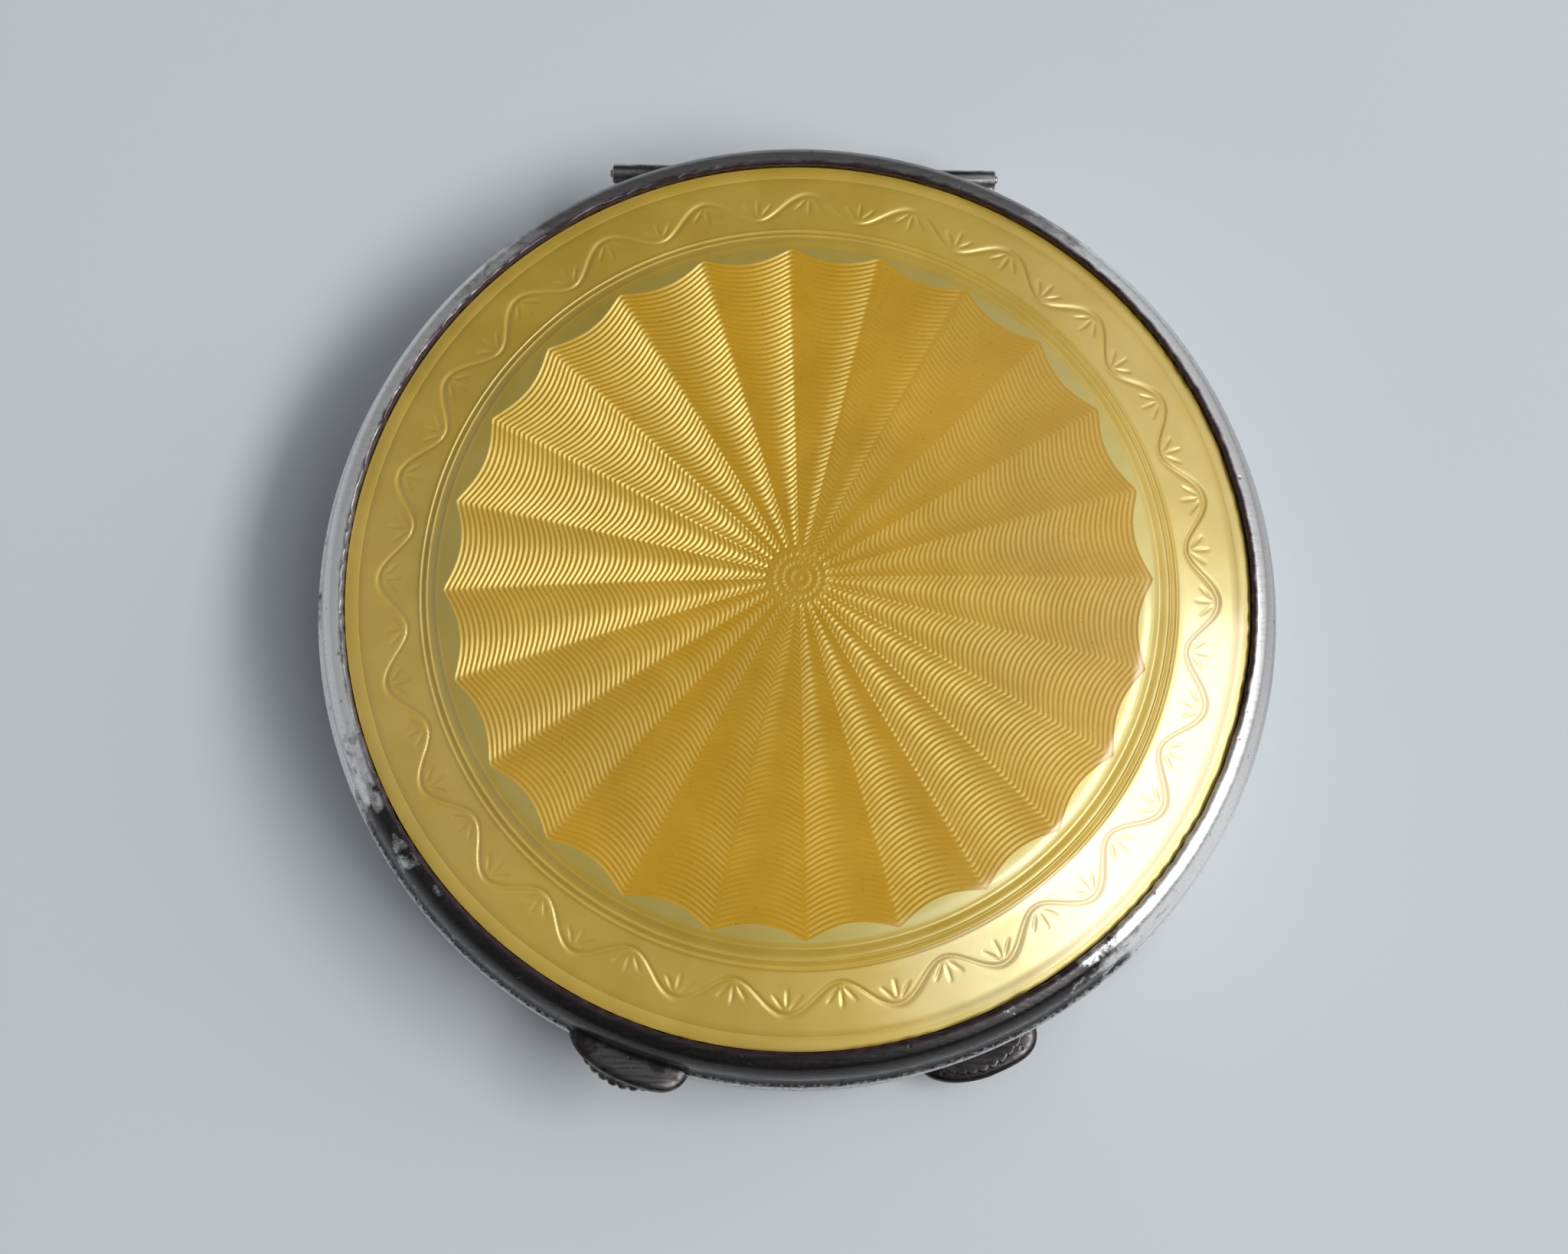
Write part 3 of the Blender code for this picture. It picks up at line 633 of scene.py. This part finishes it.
def make_grip(name, turn, near, far, reach):
    """Make a thumb-piece's half-round plate with a serrated edge."""
    low, high = sorted((near, far))
    centre = reach - GRIP_RADIUS
    sections = []
    limit = math.radians(GRIP_HALF_ARC)
    pitch = math.radians(SERRATED_ARC) / (SERRATIONS - 1)
    for angle in np.linspace(-limit, limit, 331):
        away = (angle + pitch / 2) % pitch - pitch / 2
        notch = 0.0
        if abs(angle) < math.radians(SERRATED_ARC / 2) + pitch / 2:
            notch = SERRATION_DEPTH * math.exp(-(away * GRIP_RADIUS / 0.11) ** 2)
        across = GRIP_RADIUS * math.sin(angle)
        outer = centre + (GRIP_RADIUS - notch) * math.cos(angle)
        inner = math.sqrt(WALL_RADIUS ** 2 - across ** 2)
        ends = abs(abs(angle) - limit) < 1e-6
        outer = inner if ends else max(outer, inner + 0.01)
        sections.append((across, inner, outer, (low + high) / 2 if ends else low,
                         (low + high) / 2 if ends else high))
    return lofted(name, sections, turn, 6.0)


def make_divider():
    """Make the plate between the compartments."""
    low, high = corners("divider_plate")
    edge = rounded([(0.0, high[2]), (high[0], high[2]), (high[0], low[2]), (0.0, low[2])], 0.06)
    outside = [point for point in edge if point[0] > 1.0]
    return turned("plate_between_compartments",
                  [(0.0, high[2]), (12.0, high[2])] + outside + [(12.0, low[2]), (0.0, low[2])], True)


def make_bezel(name, source, side):
    """Make a bezel that a lid snaps over."""
    low, high = corners(source)
    outer, inner = high[0], high[0] - 0.4
    foot, crest = (low[2], high[2]) if side > 0 else (high[2], low[2])
    seam = crest - side * 0.35
    profile = [(inner, foot), (outer, foot), (outer, seam), (outer - 0.10, crest - side * 0.06),
               (outer - 0.22, crest), (inner, crest)]
    return turned(name, rounded(profile, 0.05), False)


def make_lining():
    """Make the lining inside the top lid."""
    low, high = corners("top_lid_lining")
    edge = high[0]
    rise = high[2] - low[2] - 0.30
    radii = np.linspace(0, edge, 24)
    top = [(radius, high[2] - rise * (radius / edge) ** 2) for radius in radii]
    under = [(radius, height - 0.30) for radius, height in reversed(top)]
    return turned("lining_of_top_lid", top + under, True)


# Materials --------------------------------------------------------------------------------------

def node(tree, kind, values=None, **settings):
    """Add a node, set its properties, and fill or link its inputs."""
    made = tree.nodes.new(kind)
    for key, value in settings.items():
        setattr(made, key, value)
    for key, value in (values or {}).items():
        if isinstance(value, bpy.types.NodeSocket):
            tree.links.new(value, made.inputs[key])
        else:
            made.inputs[key].default_value = value
    return made


def new_material(name):
    """Return a material, its empty node tree, and object coordinates in millimetres."""
    made = bpy.data.materials.new(name)
    made.use_nodes = True
    tree = made.node_tree
    tree.nodes.clear()
    place = node(tree, "ShaderNodeTexCoord").outputs["Object"]
    scaled = node(tree, "ShaderNodeVectorMath", {0: place, "Scale": 1 / MM}, operation="SCALE")
    return made, tree, scaled.outputs[0]


def noise(tree, place, scale, detail=3.0, roughness=0.55, stretch=None):
    """Return a noise value between 0 and 1. scale counts features per millimetre."""
    if stretch is not None:
        place = node(tree, "ShaderNodeMapping", {"Vector": place, "Scale": stretch}).outputs[0]
    made = node(tree, "ShaderNodeTexNoise",
                {"Vector": place, "Scale": scale, "Detail": detail, "Roughness": roughness})
    return made.outputs["Fac"]


def remap(tree, value, low, high, to_low=0.0, to_high=1.0):
    """Map a value's range to another, clamped."""
    made = node(tree, "ShaderNodeMapRange", {"Value": value, "From Min": low, "From Max": high,
                                             "To Min": to_low, "To Max": to_high})
    return made.outputs[0]


def maths(tree, operation, first, second=0.0):
    """Combine two values."""
    return node(tree, "ShaderNodeMath", {0: first, 1: second}, operation=operation).outputs[0]


def mixed(tree, share, first, second):
    """Mix two colours."""
    made = node(tree, "ShaderNodeMix", data_type="RGBA")
    for key, value in ((0, share), (6, first), (7, second)):
        if isinstance(value, bpy.types.NodeSocket):
            tree.links.new(value, made.inputs[key])
        else:
            made.inputs[key].default_value = value
    return made.outputs[2]


def bump(tree, height, strength, distance):
    """Return a normal raised by a height."""
    made = node(tree, "ShaderNodeBump", {"Height": height, "Strength": strength,
                                         "Distance": distance * MM})
    return made.outputs[0]


def output(tree, surface):
    """Link a shader to the material's output."""
    node(tree, "ShaderNodeOutputMaterial", {"Surface": surface})


def evened_normal(tree, place):
    """Return the surface's normal, drawn most of the way to that of the plain dome."""
    tilt = 2 * (BOSS_HEIGHT - STEP_INNER_HEIGHT) / STEP_INNER ** 2
    dome = node(tree, "ShaderNodeVectorMath", {0: place, 1: (tilt, tilt, 0.0), 2: (0.0, 0.0, 1.0)},
                operation="MULTIPLY_ADD").outputs[0]
    dome = node(tree, "ShaderNodeVectorTransform", {0: dome}, vector_type="NORMAL",
                convert_from="OBJECT", convert_to="WORLD").outputs[0]
    real = node(tree, "ShaderNodeNewGeometry").outputs["Normal"]
    sum_of_both = node(tree, "ShaderNodeVectorMath", {0: dome, 1: (1.3, 1.3, 1.3), 2: real},
                       operation="MULTIPLY_ADD").outputs[0]
    return node(tree, "ShaderNodeVectorMath", {0: sum_of_both}, operation="NORMALIZE").outputs[0]


def ground_material(name, diffuse, shine, roughness, share, even=False):
    """Gold seen through enamel: a deep body colour and a paler burnished shine.

    even lets the body colour ignore most of the grooves.
    """
    made, tree, place = new_material(name)
    cloud = noise(tree, place, 0.12, 4)
    grain = noise(tree, place, 3.0, 2)
    deeper = tuple(channel * 0.86 for channel in diffuse[:3]) + (1.0,)
    body = node(tree, "ShaderNodeBsdfDiffuse",
                {"Color": mixed(tree, remap(tree, cloud, 0.35, 0.65), deeper, diffuse)})
    if even:
        tree.links.new(evened_normal(tree, place), body.inputs["Normal"])
    rough = maths(tree, "ADD", remap(tree, grain, 0.3, 0.7, -0.03, 0.03), roughness)
    gloss = node(tree, "ShaderNodeBsdfAnisotropic", {"Color": shine, "Roughness": rough})
    mix = node(tree, "ShaderNodeMixShader", {0: share, 1: body.outputs[0], 2: gloss.outputs[0]})
    output(tree, mix.outputs[0])
    return made


def glaze_material():
    """Clear enamel: tinted where light passes, mirror-like where it reflects."""
    made, tree, place = new_material("clear_enamel")
    ripple = noise(tree, place, 0.25, 2)
    smear = noise(tree, place, 0.5, 3)
    normal = bump(tree, ripple, 0.15, 0.05)
    fresnel = node(tree, "ShaderNodeFresnel", {"IOR": 1.52, "Normal": normal}).outputs[0]
    outside = maths(tree, "SUBTRACT", 1.0, node(tree, "ShaderNodeNewGeometry").outputs["Backfacing"])
    tint = mixed(tree, remap(tree, smear, 0.4, 0.6), (0.985, 0.965, 0.86, 1), (0.995, 0.98, 0.90, 1))
    clear = node(tree, "ShaderNodeBsdfTransparent", {"Color": tint})
    gloss = node(tree, "ShaderNodeBsdfAnisotropic",
                 {"Color": (1, 1, 1, 1), "Roughness": remap(tree, smear, 0.3, 0.7, 0.11, 0.17),
                  "Normal": normal})
    mix = node(tree, "ShaderNodeMixShader", {0: maths(tree, "MULTIPLY", fresnel, outside),
                                             1: clear.outputs[0], 2: gloss.outputs[0]})
    output(tree, mix.outputs[0])
    return made


def towards(tree, place, degrees):
    """Return how far a point lies towards an angle about Z, in millimetres."""
    direction = (math.cos(math.radians(degrees)), math.sin(math.radians(degrees)), 0.0)
    return node(tree, "ShaderNodeVectorMath", {0: place, 1: direction},
                operation="DOT_PRODUCT").outputs["Value"]


def from_axis(tree, place):
    """Return a point's distance from the Z axis, in millimetres."""
    flat = node(tree, "ShaderNodeVectorMath", {0: place, 1: (1.0, 1.0, 0.0)}, operation="MULTIPLY")
    length = node(tree, "ShaderNodeVectorMath", {0: flat.outputs[0]}, operation="LENGTH")
    return length.outputs["Value"]


def lip_darkness(tree, place, mottle):
    """Return the dark line beside the lip, partly tarnish and partly painted shade.

    It is faint at the lower right, where the rim catches the light, and at the left.
    """
    uneven = maths(tree, "ADD", from_axis(tree, place), remap(tree, mottle, 0.2, 0.8, -0.12, 0.12))
    line = remap(tree, uneven, FACE_RADIUS + 0.18, FACE_RADIUS + 0.36, 1.0, 0.0)
    # The line fades at the lower right, where the rim catches the light.
    worn = remap(tree, towards(tree, place, -36), 21.5, 23.0, 1.0, 0.15)
    left = remap(tree, towards(tree, place, 187), 20.5, 23.0, 1.0, 0.80)
    return maths(tree, "MULTIPLY", line, maths(tree, "MULTIPLY", worn, left))


def silver_material(name, tarnish, front=0.0, lip=False, base=(0.80, 0.79, 0.78, 1), metal=1.0,
                    worn_edge=True):
    """Old silver: scratched, pitted and tarnished in patches.

    front is the share of black at the front, a painted dark reflection. lip adds the dark line beside
    the enamel, painted shade at the back, and darker colour towards the right.
    """
    made, tree, place = new_material(name)
    patches = noise(tree, place, 0.22, 5, 0.6)
    mottle = noise(tree, place, 1.1, 4, 0.65)
    fine = noise(tree, place, 5.0, 3, 0.6)
    pits = node(tree, "ShaderNodeTexVoronoi", {"Vector": place, "Scale": 1.1}).outputs["Distance"]
    pit = remap(tree, pits, 0.04, 0.15, 1.0, 0.0)
    scratches = noise(tree, place, 1.0, 2, 0.5, stretch=(0.5, 6.0, 2.0))
    spread = maths(tree, "ADD", maths(tree, "MULTIPLY", mottle, 0.6), patches)
    dark = remap(tree, spread, 1.0 - tarnish, 1.18 - tarnish)
    dark = maths(tree, "MAXIMUM", dark, maths(tree, "MULTIPLY", pit, 0.7))
    warm = mixed(tree, fine, (0.060, 0.052, 0.056, 1), (0.14, 0.11, 0.115, 1))
    colour = mixed(tree, dark, base, warm)
    black = mixed(tree, fine, (0.012, 0.012, 0.013, 1), (0.060, 0.052, 0.050, 1))
    # Painted dark reflection: black over the front of the box, with a ragged edge.
    ragged = maths(tree, "ADD", towards(tree, place, -100), remap(tree, spread, 0.5, 1.1, -7.0, 7.0))
    front_dark = maths(tree, "MULTIPLY", remap(tree, ragged, 13.0, 16.5, 0.0, front),
                       remap(tree, from_axis(tree, place), 21.5, 23.0))
    if worn_edge:
        reach = maths(tree, "ADD", from_axis(tree, place), remap(tree, fine, 0.3, 0.7, -0.1, 0.1))
        front_dark = maths(tree, "MULTIPLY", front_dark, remap(tree, reach, 24.78, 24.95, 1.0, 0.35))
    colour = mixed(tree, front_dark, colour, black)
    if lip:
        right = remap(tree, towards(tree, place, 12), 19.0, 23.5, 0.0, 0.50)
        colour = mixed(tree, right, colour, (0.15, 0.13, 0.14, 1))
        # Painted shade: the rim darkens towards the back.
        back = remap(tree, maths(tree, "ADD", towards(tree, place, 92),
                                 remap(tree, mottle, 0.3, 0.7, -1.5, 1.5)), 17.5, 20.5, 0.0, 0.80)
        colour = mixed(tree, back, colour, (0.085, 0.08, 0.085, 1))
        colour = mixed(tree, lip_darkness(tree, place, mottle), colour, (0.070, 0.045, 0.056, 1))
    rough = maths(tree, "ADD", remap(tree, scratches, 0.35, 0.7, 0.24, 0.40),
                  maths(tree, "MULTIPLY", dark, 0.18))
    relief = maths(tree, "SUBTRACT", maths(tree, "MULTIPLY", scratches, 0.25), pit)
    shader = node(tree, "ShaderNodeBsdfPrincipled",
                  {"Base Color": colour, "Metallic": metal, "Roughness": rough,
                   "Normal": bump(tree, relief, 0.35, 0.06)})
    output(tree, shader.outputs[0])
    return made


def gilt_material():
    """Soft gilding inside the box, brushed and a little worn."""
    made, tree, place = new_material("soft_gilding")
    brushed = noise(tree, place, 0.8, 3, 0.6, stretch=(1.0, 9.0, 9.0))
    wear = noise(tree, place, 0.15, 4, 0.6)
    colour = mixed(tree, remap(tree, wear, 0.4, 0.8), (0.86, 0.64, 0.28, 1), (0.82, 0.66, 0.37, 1))
    shader = node(tree, "ShaderNodeBsdfPrincipled",
                  {"Base Color": colour, "Metallic": 1.0,
                   "Roughness": remap(tree, brushed, 0.3, 0.7, 0.24, 0.42),
                   "Normal": bump(tree, brushed, 0.2, 0.02)})
    output(tree, shader.outputs[0])
    return made


def wire_material():
    """Drawn wire, slightly tarnished, with marks along its length."""
    made, tree, place = new_material("drawn_wire")
    drawn = noise(tree, place, 2.0, 2, 0.5, stretch=(0.2, 6.0, 6.0))
    colour = mixed(tree, drawn, (0.30, 0.28, 0.27, 1), (0.62, 0.60, 0.58, 1))
    shader = node(tree, "ShaderNodeBsdfPrincipled",
                  {"Base Color": colour, "Metallic": 1.0,
                   "Roughness": remap(tree, drawn, 0.3, 0.7, 0.25, 0.45)})
    output(tree, shader.outputs[0])
    return made


def floor_material():
    """Plain pale stone."""
    made, tree, place = new_material("pale_floor")
    cloud = noise(tree, place, 0.02, 3)
    colour = mixed(tree, cloud, (0.74, 0.775, 0.81, 1), (0.78, 0.81, 0.84, 1))
    shader = node(tree, "ShaderNodeBsdfPrincipled", {"Base Color": colour, "Roughness": 0.75,
                                                     "Specular IOR Level": 0.1})
    output(tree, shader.outputs[0])
    return made


# Stage ------------------------------------------------------------------------------------------

CAMERA_TARGET = Vector((-0.675, -1.325, rim_low[2] + BEAD_HEIGHT))
CAMERA_DISTANCE = 125.0
CAMERA_ELEVATION = 78.19
CAMERA_ROLL = 1.86
CAMERA_TURN = -0.9
CAMERA_LENS = 55.05
FLOOR_HALF_SIZE = 900.0
LIGHT_DISTANCE = 600.0
ROOM_GLOWS = ((20, 42, 45, 10, 0.82), (-45, 54, 17, 5, 3.2), (175, 55, 30, 5, 0.22))


def make_camera():
    """Set the camera above the box, a little towards its front."""
    elevation = math.radians(CAMERA_ELEVATION)
    back = Vector((0.0, -math.cos(elevation), math.sin(elevation)))
    right = Vector((1.0, 0.0, 0.0))
    up = back.cross(right)
    roll = math.radians(CAMERA_ROLL)
    across = math.cos(roll) * right + math.sin(roll) * up
    upright = -math.sin(roll) * right + math.cos(roll) * up
    facing = Matrix((across, upright, back)).transposed().to_4x4()
    place = Matrix.Translation((CAMERA_TARGET + CAMERA_DISTANCE * back) * MM)
    data = bpy.data.cameras.new("camera")
    data.lens = CAMERA_LENS
    data.clip_start = 5 * MM
    camera = bpy.data.objects.new("camera", data)
    camera.matrix_world = Matrix.Rotation(math.radians(CAMERA_TURN), 4, "Z") @ place @ facing
    bpy.context.scene.collection.objects.link(camera)
    bpy.context.scene.camera = camera


def make_light(name, azimuth, elevation, wide, high, radiance, colour=(1, 1, 1)):
    """Add a rectangular light seen from the box at given angles, its radiance in scene units."""
    data = bpy.data.lights.new(name, "AREA")
    data.shape = "RECTANGLE"
    data.size = 2 * LIGHT_DISTANCE * MM * math.tan(math.radians(wide / 2))
    data.size_y = 2 * LIGHT_DISTANCE * MM * math.tan(math.radians(high / 2))
    data.energy = radiance * math.pi * data.size * data.size_y
    data.color = colour
    light = bpy.data.objects.new(name, data)
    a, e = math.radians(azimuth), math.radians(elevation)
    towards = Vector((math.cos(a) * math.cos(e), math.sin(a) * math.cos(e), math.sin(e)))
    light.location = towards * LIGHT_DISTANCE * MM
    light.rotation_euler = towards.to_track_quat("Z", "Y").to_euler()
    bpy.context.scene.collection.objects.link(light)


def glow(tree, direction, azimuth, elevation, start, full, strength):
    """Return a soft patch of light round a direction, from its edge to full strength in degrees."""
    turn, rise = math.radians(azimuth), math.radians(elevation)
    middle = (math.cos(turn) * math.cos(rise), math.sin(turn) * math.cos(rise), math.sin(rise))
    near = node(tree, "ShaderNodeVectorMath", {0: direction, 1: middle}, operation="DOT_PRODUCT")
    return node(tree, "ShaderNodeMapRange", {"Value": near.outputs["Value"],
                                             "From Min": math.cos(math.radians(start)),
                                             "From Max": math.cos(math.radians(full)),
                                             "To Max": strength},
                interpolation_type="SMOOTHSTEP").outputs[0]


def make_world():
    """Light the room softly: brighter overhead and to the right, dark at the back and front."""
    world = bpy.data.worlds.new("room")
    bpy.context.scene.world = world
    world.use_nodes = True
    tree = world.node_tree
    tree.nodes.clear()
    direction = node(tree, "ShaderNodeTexCoord").outputs["Generated"]
    parts = node(tree, "ShaderNodeSeparateXYZ", {0: direction})
    left = remap(tree, parts.outputs["X"], -0.35, -0.80, 0.0, 0.42)
    low = remap(tree, parts.outputs["Z"], 0.30, 0.60, 1.0, 0.05)
    left = maths(tree, "MULTIPLY", left, low)
    back = remap(tree, parts.outputs["Y"], 0.15, 0.75, 1.0, 0.30)
    front = remap(tree, parts.outputs["Y"], -0.35, -0.85, 1.0, 0.20)
    overhead = remap(tree, parts.outputs["Z"], 0.55, 0.98, 0.0, 0.08)
    level = maths(tree, "ADD", maths(tree, "ADD", left, overhead), 0.04)
    level = maths(tree, "MULTIPLY", maths(tree, "MULTIPLY", level, back), front)
    for azimuth, elevation, start, full, strength in ROOM_GLOWS:
        level = maths(tree, "ADD", level, glow(tree, direction, azimuth, elevation, start, full, strength))
    seen = node(tree, "ShaderNodeLightPath").outputs["Is Camera Ray"]
    level = maths(tree, "MAXIMUM", level, maths(tree, "MULTIPLY", seen, 0.60))
    light = node(tree, "ShaderNodeBackground", {"Color": (0.93, 0.965, 1.0, 1), "Strength": level})
    node(tree, "ShaderNodeOutputWorld", {"Surface": light.outputs[0]})


def make_floor():
    """Lay a pale floor under the box."""
    bm = bmesh.new()
    bmesh.ops.create_grid(bm, x_segments=1, y_segments=1, size=FLOOR_HALF_SIZE * MM)
    mesh = bpy.data.meshes.new("floor")
    bm.to_mesh(mesh)
    bm.free()
    floor = bpy.data.objects.new("floor", mesh)
    mesh.materials.append(floor_material())
    bpy.context.scene.collection.objects.link(floor)


def make_stage():
    """Set the floor, the lights, the room and the camera."""
    make_floor()
    make_light("window", -13, 53.5, 38, 12, 10.0, (1.0, 0.99, 0.975))
    make_world()
    make_camera()
    bpy.context.scene.view_settings.view_transform = "Standard"


# Assembly ---------------------------------------------------------------------------------------

def finish_piece(piece, materials, body, slot, *nodes):
    """Give a piece its materials and body, and hide the CAD nodes it stands for. slot is not used."""
    materials = materials if isinstance(materials, list) else [materials]
    if len(piece.data.materials) != len(materials):
        piece.data.materials.clear()
        for material in materials:
            piece.data.materials.append(material)
    else:
        for index, material in enumerate(materials):
            piece.data.materials[index] = material
    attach(piece, body)
    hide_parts(*nodes)


def make_hinge(label, axis, side, silver, wire):
    """Make one hinge: five tubes, alternately on the body and on the lid, and the pin."""
    for place, spot in ((-2, "left"), (0, "centre"), (2, "right")):
        tube = make_tube(f"{label}_body_tube_{spot}", place * TUBE_PITCH, axis)
        finish_piece(tube, silver, "body", "silver", f"{label}_body_knuckle_{spot}")
    for place, spot in ((-1, "left"), (1, "right")):
        tube = make_lid_tube(f"{label}_lid_tube_{spot}", place * TUBE_PITCH, axis, side)
        finish_piece(tube, silver, f"{label}_lid", "silver", f"{label}_lid_knuckle_{spot}")
    finish_piece(make_pin(f"{label}_pin", axis), wire, "body", "pin_wire", f"{label}_hinge_pin")


def make_thumb_piece(label, turn, seam, side, reaches, silver):
    """Make a lid's thumb-piece: the bar and the serrated plate behind it."""
    tab_reach, grip_reach = reaches
    bead = seam + side * BEAD_HEIGHT
    tab = make_tab(f"{label}_thumb_bar", turn, bead, tab_reach, -1)
    grip = make_grip(f"{label}_thumb_grip", turn, seam + side * 0.12, bead, grip_reach)
    for piece in (tab, grip):
        finish_piece(piece, silver, f"{label}_lid", "silver", f"{label}_thumb_piece")


def main():
    """Build every piece and the stage."""
    sunburst_gold = ground_material("engine_turned_gold", (0.82, 0.485, 0.034, 1),
                                    (0.92, 0.94, 0.62, 1), 0.30, 0.15, even=True)
    lens_gold = ground_material("polished_gold", (0.64, 0.48, 0.11, 1), (0.90, 0.90, 0.60, 1),
                                0.42, 0.33)
    border_gold = ground_material("border_gold", (0.84, 0.60, 0.12, 1),
                                  (0.91, 0.95, 0.82, 1), 0.34, 0.22)
    # front paints a dark reflection over the front of each silver piece.
    lid_silver = silver_material("lid_silver", 0.06, 1.0, lip=True, base=(0.92, 0.91, 0.90, 1),
                                 metal=0.65)
    pan_silver = silver_material("pan_silver", 0.04, 0.8, metal=0.8)
    silver = silver_material("silver", 0.05)
    band_silver = silver_material("band_silver", 0.06, 0.8, metal=0.8)
    # A darker copy of the silver: painted shade for the hinge tubes, with more tarnish.
    shaded_hinge_silver = silver_material("shaded_hinge_silver", 0.22, base=(0.44, 0.43, 0.42, 1))
    # The thumb-pieces' silvers are darker copies, painted shade; front paints a dark reflection over most
    # of each, the right one more.
    left_thumb_silver = silver_material("left_thumb_silver", 0.30, 0.70,
                                        base=(0.66, 0.63, 0.62, 1), worn_edge=False)
    right_thumb_silver = silver_material("right_thumb_silver", 0.20, 0.92,
                                         base=(0.66, 0.63, 0.62, 1), worn_edge=False)
    gilt = gilt_material()
    wire = wire_material()

    finish_piece(make_sunburst(), [sunburst_gold, lens_gold], "top_lid", "guilloche_ground",
                 "guilloche_plate")
    finish_piece(make_border(), border_gold, "top_lid", "guilloche_ground", "guilloche_plate")
    finish_piece(make_glaze(), glaze_material(), "top_lid", "enamel", "enamel_layer")
    finish_piece(make_rim(), lid_silver, "top_lid", "silver", "top_lid_rim")
    finish_piece(make_lining(), gilt, "top_lid", "gilt", "top_lid_lining")
    finish_piece(make_shell(), pan_silver, "bottom_lid", "silver", "bottom_lid_shell")
    finish_piece(make_band(), band_silver, "body", "silver", "middle_band")
    finish_piece(make_divider(), gilt, "body", "gilt", "divider_plate")
    finish_piece(make_bezel("bezel_for_top_lid", "top_snap_bezel", 1), gilt, "body", "gilt",
                 "top_snap_bezel")
    finish_piece(make_bezel("bezel_for_bottom_lid", "bottom_snap_bezel", -1), gilt, "body", "gilt",
                 "bottom_snap_bezel")
    for spot, start, end in (("left", -HINGE_HALF_LENGTH, -BEARER_START),
                             ("right", BEARER_START, HINGE_HALF_LENGTH)):
        finish_piece(make_bearer("tube_bearer_" + spot, start, end), silver, "body", "silver",
                     "hinge_bearer_" + spot)
    make_hinge("top", TOP_AXIS, 1, shaded_hinge_silver, wire)
    make_hinge("bottom", BOTTOM_AXIS, -1, shaded_hinge_silver, wire)
    make_thumb_piece("top", TOP_THUMB_TURN, rim_low[2], 1, (26.15, 26.5), left_thumb_silver)
    make_thumb_piece("bottom", BOTTOM_THUMB_TURN, shell_high[2], -1, (26.2, 26.0), right_thumb_silver)
    make_stage()


main()
